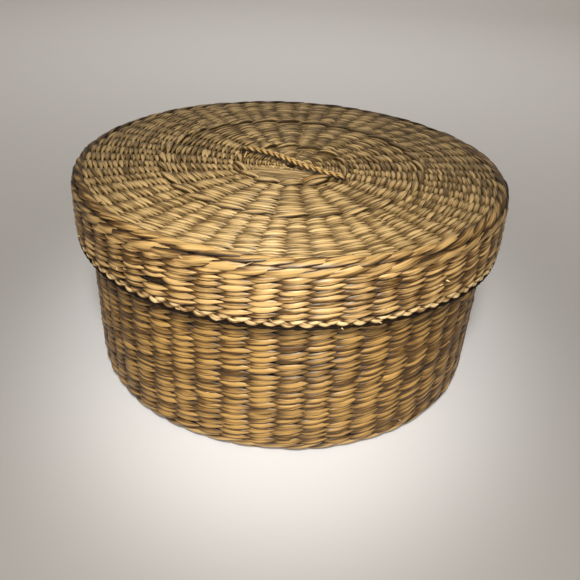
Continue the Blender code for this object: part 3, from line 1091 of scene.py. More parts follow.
@dataclass(frozen=True)
class PlaitedBorder:
    """Three strands plaited round a free edge.

    Middle is where the plait's middle lies along the wall's line, periods how often each strand
    swings across it on its way round, and outset how far it lies out of the wall. A strand is
    narrowest at the plait's sides and swells between them. Each ripple of the edge has a size, a
    number round the basket and an offset, the size in shares of the waviness.
    """

    wall: WovenWall
    middle: float
    periods: int
    seed: int
    half_height: float = 1.05 * MM
    half_depth: float = 0.7 * MM
    outset: float = 0.2 * MM
    width: float = 2.0 * MM
    thickness: float = 0.9 * MM
    level: float = 0.6
    level_spread: float = 0.13
    size_spread: float = 0.2
    waviness: float = 0.35 * MM
    narrowest: float = 0.8
    swell: float = 0.25
    proud: float = 0.6
    proud_swing: float = 0.45
    fineness: int = 14
    strands: ClassVar[int] = 3
    grain_radius: ClassVar[float] = 0.1
    grain_step: ClassVar[float] = 5.3
    ripples: ClassVar[tuple[Point, ...]] = ((1.0, 3, 1.0), (0.5, 11, 0.0))

    def plait(self, mesh: StrawMesh) -> None:
        """Add the plait to the mesh.

        Args:
            mesh: mesh that the plait goes into.
        """
        rng = np.random.default_rng(self.seed)
        stations = self.periods * self.fineness
        place = np.arange(stations) / self.fineness
        strand = np.arange(self.strands)[:, None]
        turn = math.tau * (place[None, :] + strand / self.strands)
        angle = np.broadcast_to(math.pi + math.tau * place / self.periods, turn.shape)
        size = self._sizes(rng, place)
        along = self.middle + self.half_height * np.sin(turn) * size + self._rise_and_fall(angle)
        depth = self.outset + self.half_depth * np.sin(2 * turn)
        points, normals = self.wall.place(angle, along, depth)
        after = next_stations(turn.shape)
        after[:, -1] = np.arange(self.strands) * stations
        levels = rng.normal(self.level, self.level_spread, (self.strands, self.periods))
        tone = levels[strand, np.floor(place).astype(int)[None, :]]
        swing = np.abs(np.cos(turn))
        mesh.sweep(
            points.reshape(-1, 3),
            normals.reshape(-1, 3),
            (self.width * (self.narrowest + self.swell * swing) * size).ravel(),
            np.full(turn.size, self.thickness),
            after.ravel(),
            np.zeros(turn.size),
            tone.ravel(),
            # Painted shade: a strand is painted darker where it turns in behind the plait, and
            # paler where it lies out.
            np.clip(self.proud + self.proud_swing * np.sin(2 * turn), 0, 1).ravel(),
            (angle * self.grain_radius).ravel(),
            (strand * self.grain_step + 0 * turn).ravel(),
        )

    def _sizes(self, rng: np.random.Generator, place: np.ndarray) -> np.ndarray:
        """Draw the uneven size of each strand, which comes back to its first at the end.

        Args:
            rng: source of the chances.
            place: place of each station, counted in periods.

        Returns:
            The size of each strand at each station, round 1.
        """
        knots = np.arange(self.periods * 2 + 1) / 2
        drawn = [np.interp(place, knots, rng.normal(0, 1, len(knots))) for _ in range(self.strands)]
        size = 1 + self.size_spread * np.stack(drawn)
        last = self.fineness // 2
        back = np.linspace(1, 0, last)
        size[:, -last:] = size[:, :1] + (size[:, -last:] - size[:, :1]) * back
        return size

    def _rise_and_fall(self, angle: np.ndarray) -> np.ndarray:
        """Height that the edge's ripples add in each direction."""
        ripples = (size * np.sin(number * angle + offset) for size, number, offset in self.ripples)
        return self.waviness * sum(ripples)


@dataclass(frozen=True)
class CrossedSticks:
    """Sticks of a hub, which cross over and under one another and then fan out like spokes.

    Counts are those of the two ways that the sticks lie, and turn is the angle of the first way.
    """

    wall: WovenWall
    counts: tuple[int, int]
    turn: float
    seed: int
    pitch: float = 2.4 * MM
    hub_width: float = 2.1 * MM
    hub_thickness: float = 0.8 * MM
    hub_wave: float = 0.45 * MM
    hub_margin: float = 1.2 * MM
    spoke_width: float = 2.9 * MM
    spoke_thickness: float = 1.2 * MM
    fan_from: float = 12 * MM
    full_from: float = 27 * MM
    straight_from: float = 30 * MM
    rim: float = 96 * MM
    outer_stations: int = 12
    fan_stations: int = 6
    crossing_stations: int = 6
    end_stations: int = 3
    proud: float = 0.6
    tone_spread: float = 0.12
    grain_step: ClassVar[float] = 3.1

    def lay(self, mesh: StrawMesh) -> None:
        """Add the sticks to the mesh.

        Args:
            mesh: mesh that the sticks go into.
        """
        rng = np.random.default_rng(self.seed)
        for direction in (0, 1):
            for index in range(self.counts[direction]):
                self._lay_one(mesh, rng, direction, index)

    def _lay_one(
        self, mesh: StrawMesh, rng: np.random.Generator, direction: int, index: int
    ) -> None:
        """Add one stick.

        Args:
            mesh: mesh that the stick goes into.
            rng: source of the chances.
            direction: which of the two ways the stick lies.
            index: its place among the sticks of that way.
        """
        flat, depth = self._route(direction, index)
        radius = np.hypot(flat[:, 0], flat[:, 1])
        angle = np.arctan2(flat[:, 0], -flat[:, 1])
        points, normals = self.wall.place(angle, self.wall.length - radius, depth)
        count = len(points)
        share = np.clip((radius - self.fan_from) / (self.full_from - self.fan_from), 0, 1)
        steps = np.linalg.norm(np.diff(points, axis=0), axis=1)
        mesh.sweep(
            points,
            normals,
            self.hub_width + (self.spoke_width - self.hub_width) * share,
            self.hub_thickness + (self.spoke_thickness - self.hub_thickness) * share,
            next_stations((count,)),
            np.zeros(count),
            np.full(count, rng.normal(0.5, self.tone_spread)),
            np.full(count, self.proud),
            np.concatenate([[0.0], np.cumsum(steps)]),
            np.full(count, (direction * 10 + index) * self.grain_step),
        )

    def _route(self, direction: int, index: int) -> tuple[np.ndarray, np.ndarray]:
        """Find a stick's way: in from the rim, across the hub, and out to the rim.

        Args:
            direction: which of the two ways the stick lies.
            index: its place among the sticks of that way.

        Returns:
            Its points from above, and its depth out of the wall at each.
        """
        own, other = self.counts[direction], self.counts[1 - direction]
        side = index - (own - 1) / 2
        step = math.tau / (2 * sum(self.counts))
        axis = self.turn + direction * math.pi / 2
        outer = np.linspace(self.rim, self.straight_from, self.outer_stations)
        inner = np.linspace(self.full_from, self.fan_from, self.fan_stations)
        radii = np.concatenate([outer, inner])
        reach = (other - 1) / 2 * self.pitch + self.hub_margin
        level = np.linspace(-reach, reach, self.crossing_stations * other + self.end_stations)
        tip_angles = (axis + math.pi - side * step, axis + side * step)
        fan = [np.stack([radii * math.sin(a), -radii * math.cos(a)], axis=-1) for a in tip_angles]
        along = np.array([math.sin(axis), -math.cos(axis)])
        across = np.array([math.cos(axis), math.sin(axis)])
        hub = level[:, None] * along + side * self.pitch * across
        over = 1 if (index + direction) % 2 == 0 else -1
        crossing = level / self.pitch - (other - 1) / 2
        wave = over * self.hub_wave * np.cos(math.pi * crossing)
        depth = np.concatenate([np.zeros(len(radii)), wave, np.zeros(len(radii))])
        return np.concatenate([fan[0], hub, fan[1][::-1]]), depth


@dataclass(frozen=True)
class Grip:
    """Three strands plaited into a low loop that lies across the lid's centre.

    Heading is the way from its rear to its front end, aside how far it lies beside the centre,
    and bend the size of its slight S. At each end its strands go down into the weave side by
    side, at the well, and a tail's length below the top.
    """

    heading: float = math.radians(56)
    aside: float = -2.2 * MM
    bend: float = 1.4 * MM
    top: float = 94.6 * MM
    rear_well: float = 25.4 * MM
    front_well: float = 29.4 * MM
    well_step: float = 1.0 * MM
    brim: float = 0.4 * MM
    shoulder: float = 0.35 * MM
    half_width: float = 1.2 * MM
    half_rise: float = 0.55 * MM
    arch: float = 0.5 * MM
    arch_power: float = 0.8
    floor: float = 1.5 * MM
    # Height over which the grip's painted shade runs from dark to pale.
    shade_height: float = 1.5 * MM
    periods: int = 5
    fineness: int = 18
    width: float = 2.0 * MM
    thickness: float = 1.15 * MM
    tail: float = 4.0 * MM
    first_step: float = 0.3
    next_step: float = 0.6
    tone: float = 0.5
    tone_step: float = 0.08
    proud: float = 0.75
    least_proud: float = 0.1
    strands: ClassVar[int] = 3
    first_grain: ClassVar[float] = 2.7
    grain_step: ClassVar[float] = 5.9

    def plait(self, mesh: StrawMesh) -> None:
        """Add the three strands to the mesh.

        Args:
            mesh: mesh that the strands go into.
        """
        way = np.array([math.sin(self.heading), -math.cos(self.heading), 0.0])
        side = np.array([math.cos(self.heading), math.sin(self.heading), 0.0])
        up = np.array([0.0, 0.0, 1.0])
        steps = self.periods * self.fineness
        share = np.arange(steps + 1) / steps
        length = self.rear_well + self.front_well
        for strand in range(self.strands):
            turn = math.tau * (share * self.periods + strand / self.strands)
            distance = -self.rear_well + length * share
            swing = self.half_width * np.sin(turn) + self.aside
            swing = swing + self.bend * np.sin(math.tau * share)
            arch = self.arch * np.sin(math.pi * share) ** self.arch_power
            height = self.floor + arch + self.half_rise * np.sin(2 * turn)
            body = way * distance[:, None] + side * swing[:, None]
            body = body + up * (self.top + height)[:, None]
            ends = []
            for sign, last in ((-1, body[0]), (1, body[-1])):
                well = self.rear_well if sign < 0 else self.front_well
                reach = well + self.well_step * (self.first_step + strand * self.next_step)
                spot = way * sign * reach + side * self.aside
                low = spot + up * (self.top - self.tail)
                brim = spot + up * (self.top + self.brim)
                bend = (last + brim) / 2 + up * self.shoulder
                ends.append(np.array([low, (low + brim) / 2, brim, bend]))
            points = np.concatenate([ends[0], body, ends[1][::-1]])
            self._add_strand(mesh, points, side, strand)

    def _add_strand(
        self, mesh: StrawMesh, points: np.ndarray, side: np.ndarray, strand: int
    ) -> None:
        """Add one strand along its points.

        Args:
            mesh: mesh that the strand goes into.
            points: route of the strand.
            side: level way across the grip.
            strand: its number.
        """
        count = len(points)
        way = np.gradient(points, axis=0)
        normals = np.cross(way, side)
        normals /= np.linalg.norm(normals, axis=1, keepdims=True)
        steps = np.linalg.norm(np.diff(points, axis=0), axis=1)
        height = points[:, 2] - self.top
        mesh.sweep(
            points,
            normals,
            np.full(count, self.width),
            np.full(count, self.thickness),
            next_stations((count,)),
            np.zeros(count),
            np.full(count, self.tone + self.tone_step * strand),
            # Painted shade: the strands are painted darker where they lie low, under one another
            # and down into the lid, and paler where they lie high.
            np.clip(self.proud + (height - self.floor) / self.shade_height, self.least_proud, 1),
            np.concatenate([[0.0], np.cumsum(steps)]),
            np.full(count, self.first_grain + strand * self.grain_step),
        )


@dataclass
class Base:
    """Round base with a flat twined floor, a slightly flared wall and a plaited border.

    Radii and heights are those of the weave's middle line. Drops, insets and starts are measured
    from the edge, the foot and the centre.
    """

    stake_count: int = 52
    stake_width: float = 8.8 * MM
    first_stake: float = math.radians(2.3)
    floor_height: float = 2.66 * MM
    foot_radius: float = 90.4 * MM
    foot_round: float = 1.8 * MM
    foot_flat: float = 0.3 * MM
    rim_radius: float = 92.1 * MM
    edge_height: float = 91.1 * MM
    border_drop: float = 1.9 * MM
    stake_drop: float = 2 * MM
    stake_inset: float = 4 * MM
    weave_top: float = 87.5 * MM
    wale_top: float = 4.9 * MM
    wale_inset: float = 3.4 * MM
    hub_start: float = 9.5 * MM
    tie_start: float = 22.3 * MM
    tie_end: float = 27.3 * MM
    floor_start: float = 27.6 * MM
    stick_reach: float = 86.5 * MM
    hub_pitch: float = 2.5 * MM
    floor_pitch: float = 2.8 * MM
    wall_pitch: float = 2.83 * MM
    finishes: Finishes = field(default_factory=Finishes)

    def __post_init__(self) -> None:
        """Work out the walls and the stakes from the sizes."""
        foot = self.foot_radius - self.foot_round
        out = foot + self.foot_round * np.sin(QUARTER_TURN)
        up = self.floor_height + self.foot_round * (1 - np.cos(QUARTER_TURN))
        self.wall = WovenWall(
            (0.0, foot - self.foot_flat, *out, self.rim_radius),
            (self.floor_height, self.floor_height, *up, self.edge_height),
        )
        self.wall_stakes = Stakes(self.stake_count, self.first_stake, seed=21)
        self.floor_stakes = Stakes(self.stake_count // 2, self.first_stake, seed=22)

    def build(self) -> list[bpy.types.Object]:
        """Build every piece of the base.

        Returns:
            The pieces.
        """
        return [
            *self.floor(),
            *self.sides(),
            self.foot_wale(),
            self.side_stakes(),
            self.border(),
            self.loose_ends(),
        ]

    def floor(self) -> list[bpy.types.Object]:
        """Lay the sticks of the floor, and weave its hub, tie and rounds.

        Returns:
            The four pieces.
        """
        sticks = StrawMesh("base_bottom_sticks")
        level = WovenWall((self.foot_radius, 0.0), (self.floor_height, self.floor_height))
        CrossedSticks(level, (7, 6), self.first_stake, seed=41, rim=self.stick_reach).lay(sticks)
        names = tuple(f"base_bottom_stick_{number:02d}" for number in range(1, 14))
        tie_width = self.tie_end - self.tie_start
        end = self.wall.at_radius(self.foot_radius - self.wale_inset)
        hub = self._rounds("base_hub_rounds", self.hub_start, self.tie_start, self.hub_pitch, 42)
        tie = self._rounds("base_hub_tie_straps", self.tie_start, self.tie_end, tie_width, 43)
        rest = self._rounds("base_bottom_rounds", self.floor_start, end, self.floor_pitch, 44)
        return [
            sticks.piece(self.finishes.stake, "base", "stake_straw", names),
            hub.piece(self.finishes.weft, "base", "weft_straw", ("base_hub_weave",)),
            tie.piece(self.finishes.wale, "base", "wale_straw", ("base_hub_tie",)),
            rest.piece(self.finishes.weft, "base", "weft_straw", ("base_bottom_weave",)),
        ]

    def _rounds(self, name: str, start: float, end: float, pitch: float, seed: int) -> StrawMesh:
        """Weave rounds of pairing between two radii of the floor.

        Args:
            name: name of the piece.
            start: radius where they start.
            end: radius where they end.
            pitch: rough height of a round.
            seed: seed of their unevenness.

        Returns:
            The mesh of the rounds.
        """
        mesh = StrawMesh(name)
        count = round((end - start) / pitch)
        TwinedRounds(
            self.wall,
            self.floor_stakes,
            start,
            (end - start) / count,
            count,
            seed,
            fineness=5,
            depth=1.3 * MM,
            tip_up=0.0,
        ).weave(mesh)
        return mesh

    def sides(self) -> list[bpy.types.Object]:
        """Weave the rounds of the wall.

        Returns:
            A lower and an upper piece.
        """
        start, end = self.wall.at_height(self.wale_top), self.wall.at_height(self.weave_top)
        rounds = round((end - start) / self.wall_pitch)
        lower = rounds // 2
        pitch = (end - start) / rounds
        pieces = []
        parts = (("lower", 0, lower, 31), ("upper", lower, rounds - lower, 32))
        for name, first, count, seed in parts:
            mesh = StrawMesh(f"base_wall_rounds_{name}")
            TwinedRounds(
                self.wall,
                self.wall_stakes,
                start + first * pitch,
                pitch,
                count,
                seed,
                fineness=7,
                start_share=0.34,
                tone_shift=-0.2,
                tone_spread=0.045,
            ).weave(mesh)
            node = "base_wall_weave_with_side_stakes"
            pieces.append(mesh.piece(self.finishes.weft, "base", "weft_straw", (node,)))
        return pieces

    def foot_wale(self) -> bpy.types.Object:
        """Weave the longer strands that bind the turn from the floor to the wall.

        Returns:
            The piece.
        """
        mesh = StrawMesh("base_foot_wale")
        rows = 2
        start = self.wall.at_radius(self.foot_radius - self.wale_inset)
        end = self.wall.at_height(self.wale_top)
        TwinedRounds(
            self.wall,
            self.wall_stakes,
            start,
            (end - start) / rows,
            rows,
            33,
            technique=Technique.WALING,
            depth=1.3 * MM,
            fullness=1.2,
            slant=0.4,
            lead=0.03,
            reach=0.08,
            tip_up=0.1,
        ).weave(mesh)
        nodes = ("base_foot_wale_over_ends", "base_foot_wale_round_side")
        return mesh.piece(self.finishes.wale, "base", "wale_straw", nodes)

    def side_stakes(self) -> bpy.types.Object:
        """Stand the side stakes, from the corner up into the border.

        Returns:
            The piece.
        """
        mesh = StrawMesh("base_side_stakes")
        start = self.wall.at_radius(self.foot_radius - self.stake_inset)
        end = self.wall.at_height(self.edge_height - self.stake_drop)
        angles = self.wall_stakes.middles
        StakeRow(self.wall, angles, start, end, seed=45, width=self.stake_width).stand(mesh)
        return mesh.piece(self.finishes.stake, "base", "stake_straw")

    def border(self) -> bpy.types.Object:
        """Plait the upper edge, which the lid hides while it is on.

        Returns:
            The piece.
        """
        mesh = StrawMesh("base_border_plait")
        middle = self.wall.at_height(self.edge_height - self.border_drop)
        PlaitedBorder(self.wall, middle, self.stake_count, seed=46, outset=0).plait(mesh)
        return mesh.piece(self.finishes.border, "base", "border_straw", ("base_border",))

    def loose_ends(self) -> bpy.types.Object:
        """Scatter stray ends over the wall.

        Returns:
            The piece.
        """
        mesh = StrawMesh("base_loose_ends", edge_shade=0.0)
        start, end = self.wall.at_height(self.wale_top), self.wall.at_height(self.weave_top)
        ends = LooseEnds(self.wall, start, end, count=30, seed=95, depth=2.0 * MM, length=3 * MM)
        ends.scatter(mesh)
        return mesh.piece(self.finishes.border, "base", "border_straw")


@dataclass
class Lid:
    """Drop-over lid with a twined top, a skirt, a plaited border and a plaited grip.

    The weave's middle line starts below the skirt, turns the corner and runs in to the centre,
    where the top is dished. Each zone of the top runs in to the radius that is named for it. The
    forms are sizes of the rounds that several zones share.
    """

    stake_count: int = 56
    stake_width: float = 8.8 * MM
    first_stake: float = math.radians(2.5)
    top_height: float = 93.7 * MM
    wall_radius: float = 97.7 * MM
    line_drop: float = 5 * MM
    skirt_bottom: float = 72.3 * MM
    skirt_top: float = 91.0 * MM
    corner_round: float = 2.6 * MM
    top_flat: float = 8 * MM
    wale_bottom: float = 89.6 * MM
    wale_inside: float = 94.4 * MM
    outer_inside: float = 61.5 * MM
    increase_ground: float = 61.8 * MM
    increase_inside: float = 58.5 * MM
    inner_inside: float = 27.4 * MM
    tie_inside: float = 22.4 * MM
    hub_inside: float = 2.8 * MM
    dish: float = 2.0 * MM
    dish_radius: float = 58 * MM
    dish_points: int = 20
    border_middle: float = 70.4 * MM
    border_underside: float = 2.15 * MM
    stake_drop: float = 1.5 * MM
    stick_reach: float = 95 * MM
    added_outside: float = 96 * MM
    added_inside: float = 60 * MM
    finishes: Finishes = field(default_factory=Finishes)
    # The top's zones get little painted front light.
    flat_form: ClassVar[dict[str, float]] = {"fade": 0.05, "tone_shift": 0.0}
    top_form: ClassVar[dict[str, float]] = {
        **flat_form,
        "depth": 1.2 * MM,
        "thickness": 1.4 * MM,
        "fullness": 1.15,
        "start_share": 0.5,
        "tip_share": 0.28,
        "tip_up": -0.06,
    }
    ring_edge_shade: ClassVar[float] = 1.1

    def __post_init__(self) -> None:
        """Work out the wall and the stakes from the sizes."""
        inward = np.linspace(1, 0, self.dish_points)
        sunk = 0.5 * (1 - np.cos(math.pi * (1 - inward)))
        radii = np.concatenate(
            [
                [self.wall_radius, self.wall_radius],
                self.wall_radius - self.corner_round * (1 - np.cos(QUARTER_TURN)),
                [self.wall_radius - self.top_flat],
                self.dish_radius * inward,
            ]
        )
        heights = np.concatenate(
            [
                [self.skirt_bottom - self.line_drop, self.skirt_top],
                self.top_height - self.corner_round + self.corner_round * np.sin(QUARTER_TURN),
                [self.top_height],
                self.top_height - self.dish * sunk,
            ]
        )
        self.wall = WovenWall(tuple(radii), tuple(heights))
        self.wall_stakes = Stakes(self.stake_count, self.first_stake, seed=61)
        self.spokes = Stakes(self.stake_count // 2, 0.0, seed=62, unevenness=0.1)
        self.hub_spokes = Stakes(self.stake_count // 4, 0.0, seed=63, unevenness=0.1)

    def build(self) -> list[bpy.types.Object]:
        """Build every piece of the lid.

        Returns:
            The pieces.
        """
        return [
            self.skirt(),
            self.corner_wales(),
            self.outer_rounds(),
            self.increase_round(),
            self.inner_rounds(),
            self.tie(),
            self.hub_rounds(),
            self.hub_folds(),
            self.sticks(),
            self.side_stakes(),
            *self.border(),
            self.grip(),
            self.loose_ends(),
        ]

    def _zone(
        self,
        name: str,
        stakes: Stakes,
        start: float,
        end: float,
        rounds: int,
        seed: int,
        edge_shade: float = 0.55,
        **form: Any,
    ) -> StrawMesh:
        """Weave rounds between two lengths along the wall's line.

        Args:
            name: name of the piece.
            stakes: stakes that the weft crosses between.
            start: length where the first round starts.
            end: length where the last round ends.
            rounds: number of rounds.
            seed: seed of its unevenness.
            edge_shade: how much painted shade darkens the straws' edges.
            form: other sizes of the rounds.

        Returns:
            The mesh of the rounds.
        """
        mesh = StrawMesh(name, edge_shade)
        pitch = (end - start) / rounds
        TwinedRounds(self.wall, stakes, start, pitch, rounds, seed, **form).weave(mesh)
        return mesh

    def _ground(
        self, mesh: StrawMesh, stakes: Stakes, radius: float, pitch: float, seed: int, **form: Any
    ) -> None:
        """Weave two low rounds that close the weave under the bold strands of a ring.

        Args:
            mesh: mesh that the rounds go into.
            stakes: stakes that the weft crosses between.
            radius: radius where they start.
            pitch: height of a round.
            seed: seed of their unevenness.
            form: other sizes of the rounds.
        """
        start = self.wall.at_radius(radius)
        low = {"thickness": 1.0 * MM, "start_share": 0.8, "tip_share": 0.5}
        TwinedRounds(self.wall, stakes, start, pitch, 2, seed, **low, **form).weave(mesh)

    def skirt(self) -> bpy.types.Object:
        """Weave the rounds of the lid's side, with one stitch worn through.

        Returns:
            The piece.
        """
        start, end = self.wall.at_height(self.skirt_bottom), self.wall.at_height(self.wale_bottom)
        mesh = self._zone(
            "lid_skirt_rounds",
            self.wall_stakes,
            start,
            end,
            rounds=7,
            seed=71,
            edge_shade=0.9,
            fineness=8,
            broken=((2, 23),),
        )
        nodes = ("lid_skirt_weave_with_side_stakes",)
        return mesh.piece(self.finishes.skirt, "lid", "weft_straw", nodes)

    def corner_wales(self) -> bpy.types.Object:
        """Weave the longer strands that bind the lid's corner.

        Returns:
            The piece.
        """
        mesh = self._zone(
            "lid_corner_wales",
            self.wall_stakes,
            self.wall.at_height(self.wale_bottom),
            self.wall.at_radius(self.wale_inside),
            rounds=2,
            seed=72,
            edge_shade=0.9,
            technique=Technique.WALING,
            fineness=8,
            depth=1.3 * MM,
            thickness=1.5 * MM,
            fullness=1.35,
            slant=0.36,
            lead=0.05,
            reach=0.16,
            tip_up=0.0,
        )
        nodes = ("lid_corner_wale_over_ends", "lid_corner_wale_round_side")
        return mesh.piece(self.finishes.wale, "lid", "wale_straw", nodes)

    def outer_rounds(self) -> bpy.types.Object:
        """Weave the rounds of the top outside the added sticks' ends.

        Returns:
            The piece.
        """
        start = self.wall.at_radius(self.wale_inside)
        end = self.wall.at_radius(self.outer_inside)
        form = {"fineness": 7, "lead": 0.04, "reach": 0.2, **self.top_form}
        mesh = self._zone(
            "lid_outer_rounds", self.wall_stakes, start, end, rounds=15, seed=73, **form
        )
        return mesh.piece(self.finishes.lid_weft, "lid", "lid_weft_straw", ("lid_outer_weave",))

    def increase_round(self) -> bpy.types.Object:
        """Weave the long strands that bind the added sticks in.

        Returns:
            The piece.
        """
        mesh = self._zone(
            "lid_increase_round",
            self.spokes,
            self.wall.at_radius(self.outer_inside),
            self.wall.at_radius(self.increase_inside),
            rounds=1,
            seed=74,
            edge_shade=self.ring_edge_shade,
            fineness=10,
            depth=2.1 * MM,
            fullness=1.2,
            start_share=0.5,
            slant=0.5,
            lead=0.02,
            reach=0.15,
            tip_up=-0.1,
            tone_shift=0.04,
            fade=0.05,
        )
        self._ground(
            mesh,
            self.spokes,
            self.increase_ground,
            pitch=1.8 * MM,
            seed=86,
            fineness=10,
            depth=0.7 * MM,
        )
        return mesh.piece(self.finishes.lid_weft, "lid", "wale_straw", ("lid_increase_round",))

    def inner_rounds(self) -> bpy.types.Object:
        """Weave the rounds of the top between the hub's tie and the added sticks.

        Returns:
            The piece.
        """
        start = self.wall.at_radius(self.increase_inside)
        end = self.wall.at_radius(self.inner_inside)
        form = {"fineness": 10, "lead": 0.02, "reach": 0.13, **self.top_form}
        mesh = self._zone("lid_inner_rounds", self.spokes, start, end, rounds=13, seed=75, **form)
        return mesh.piece(self.finishes.lid_weft, "lid", "lid_weft_straw", ("lid_inner_weave",))

    def tie(self) -> bpy.types.Object:
        """Weave the wide straps round the hub.

        Returns:
            The piece.
        """
        mesh = self._zone(
            "lid_hub_tie_straps",
            self.hub_spokes,
            self.wall.at_radius(self.inner_inside),
            self.wall.at_radius(self.tie_inside),
            rounds=1,
            seed=76,
            edge_shade=self.ring_edge_shade,
            fineness=12,
            depth=2.3 * MM,
            fullness=1.1,
            start_share=0.7,
            tip_share=0.4,
            lead=0.0,
            reach=0.1,
            tip_up=-0.1,
            narrowing=0.5,
            tone_shift=0.05,
            fade=0.05,
        )
        self._ground(
            mesh,
            self.hub_spokes,
            self.inner_inside,
            pitch=2.5 * MM,
            seed=85,
            fineness=12,
            depth=0.8 * MM,
        )
        return mesh.piece(self.finishes.lid_weft, "lid", "wale_straw", ("lid_hub_tie",))

    def hub_rounds(self) -> bpy.types.Object:
        """Weave the rounds of the hub.

        Returns:
            The piece.
        """
        mesh = self._zone(
            "lid_hub_rounds",
            self.hub_spokes,
            self.wall.at_radius(self.tie_inside),
            self.wall.at_radius(self.hub_inside),
            rounds=14,
            seed=77,
            fineness=12,
            depth=1.1 * MM,
            thickness=1.2 * MM,
            start_share=0.6,
            tip_share=0.4,
            lead=0.0,
            reach=0.1,
            tip_up=-0.2,
            **self.flat_form,
        )
        return mesh.piece(self.finishes.lid_weft, "lid", "lid_weft_straw", ("lid_hub_weave",))

    def hub_folds(self) -> bpy.types.Object:
        """Lay broad flat straws over the front of the hub, side by side.

        Returns:
            The piece.
        """
        mesh = StrawMesh("lid_hub_folds", edge_shade=0.35)
        straps = FlatStraps(
            self.wall, rim=23.4 * MM, first=7.2 * MM, step=3.9 * MM, count=4, seed=84
        )
        straps.lay(mesh)
        return mesh.piece(self.finishes.lid_weft, "lid", "lid_weft_straw")

    def sticks(self) -> bpy.types.Object:
        """Lay the sticks that cross in the hub and fan out, and those added between them.

        Returns:
            The piece.
        """
        mesh = StrawMesh("lid_top_sticks")
        CrossedSticks(self.wall, (7, 7), 0.0, seed=78, rim=self.stick_reach).lay(mesh)
        first = math.tau / self.stake_count
        added = Stakes(self.stake_count // 2, first, seed=0, unevenness=0.0)
        start, end = self.wall.at_radius(self.added_outside), self.wall.at_radius(self.added_inside)
        StakeRow(self.wall, added.middles, start, end, seed=79).stand(mesh)
        names = tuple(f"lid_top_stick_{number:02d}" for number in range(1, 15))
        return mesh.piece(self.finishes.stake, "lid", "stake_straw", names)

    def side_stakes(self) -> bpy.types.Object:
        """Stand the side stakes, from the corner down into the border.

        Returns:
            The piece.
        """
        mesh = StrawMesh("lid_side_stakes")
        start = self.wall.at_height(self.skirt_bottom - self.stake_drop)
        end = self.wall.at_radius(self.stick_reach)
        angles = self.wall_stakes.middles
        StakeRow(self.wall, angles, start, end, seed=80, width=self.stake_width).stand(mesh)
        return mesh.piece(self.finishes.stake, "lid", "stake_straw")

    def border(self) -> list[bpy.types.Object]:
        """Plait the lower edge, with the turns of its underside painted near black as painted
        shade.

        Returns:
            The plait and its underside in painted shade.
        """
        mesh, under = StrawMesh("lid_border_plait"), StrawMesh("lid_border_underside_painted_shade")
        middle = self.wall.at_height(self.border_middle)
        PlaitedBorder(
            self.wall,
            middle,
            periods=31,
            seed=81,
            half_height=0.8 * MM,
            outset=0.9 * MM,
            width=2.1 * MM,
            fineness=22,
        ).plait(mesh)
        # The underside's turns are painted near black: painted shade under the edge.
        PlaitedBorder(
            self.wall,
            middle - self.border_underside,
            periods=47,
            seed=82,
            half_height=0.25 * MM,
            half_depth=0.3 * MM,
            outset=1.2 * MM,
            width=1.3 * MM,
            fineness=16,
        ).plait(under)
        return [
            mesh.piece(self.finishes.border, "lid", "border_straw", ("lid_border",)),
            under.piece(self.finishes.shaded, "lid", "border_straw"),
        ]

    def grip(self) -> bpy.types.Object:
        """Plait the grip across the centre, with a broad straw at its front end.

        Returns:
            The piece.
        """
        mesh = StrawMesh("lid_grip_plait")
        Grip().plait(mesh)
        start, end = (6.0 * MM, -21.0 * MM), (20.2 * MM, -15.2 * MM)
        Tongue(self.wall, start, end).lay(mesh)
        names = ("grip_strand_1", "grip_strand_2", "grip_strand_3")
        return mesh.piece(self.finishes.grip, "lid", "grip_straw", names)

    def loose_ends(self) -> bpy.types.Object:
        """Scatter stray ends over the border, the skirt, the corner and the top.

        Returns:
            The piece.
        """
        mesh = StrawMesh("lid_loose_ends", edge_shade=0.0)
        edge = self.wall.at_height(self.border_middle)
        corner = self.wall.at_height(self.wale_bottom)
        top = self.wall.at_radius(self.wale_inside)
        outside, inside = self.wall.at_radius(92 * MM), self.wall.at_radius(30 * MM)
        for start, end, count, seed, depth, length, lift in (
            (edge - 1.5 * MM, edge + 1.0 * MM, 34, 91, 2.1 * MM, 2.5 * MM, 0.3 * MM),
            (edge, corner, 26, 92, 2.0 * MM, 3.5 * MM, 0.6 * MM),
            (corner, top, 8, 93, 1.8 * MM, 3 * MM, 0.3 * MM),
            (outside, inside, 12, 94, 1.4 * MM, 3 * MM, 0.2 * MM),
        ):
            LooseEnds(self.wall, start, end, count, seed, depth, length, lift=lift).scatter(mesh)
        return mesh.piece(self.finishes.border, "lid", "border_straw")


class LampKind(Enum):
    """How a lamp sheds its light: as a soft cone, or from a soft disc."""

    CONE = "SPOT"
    DISC = "AREA"


@dataclass(frozen=True)
class Lamp:
    """Lamp of the studio: where it hangs and points, its size, its power and its cone's angle."""

    name: str
    kind: LampKind
    place: Point
    aim: Point
    size: float
    power: float
    cone: float = 0.0

    def hang(self) -> None:
        """Add the lamp to the scene."""
        lamp = bpy.data.lights.new(f"{self.name}_lamp", self.kind.value)
        lamp.energy = self.power
        if self.kind is LampKind.CONE:
            lamp.shadow_soft_size = self.size
            lamp.spot_size = self.cone
            lamp.spot_blend = 1.0
        else:
            lamp.shape = "DISK"
            lamp.size = self.size
        item = bpy.data.objects.new(lamp.name, lamp)
        item.location = self.place
        way = Vector(self.aim) - Vector(self.place)
        item.rotation_euler = way.to_track_quat("-Z", "Y").to_euler()
        bpy.context.scene.collection.objects.link(item)


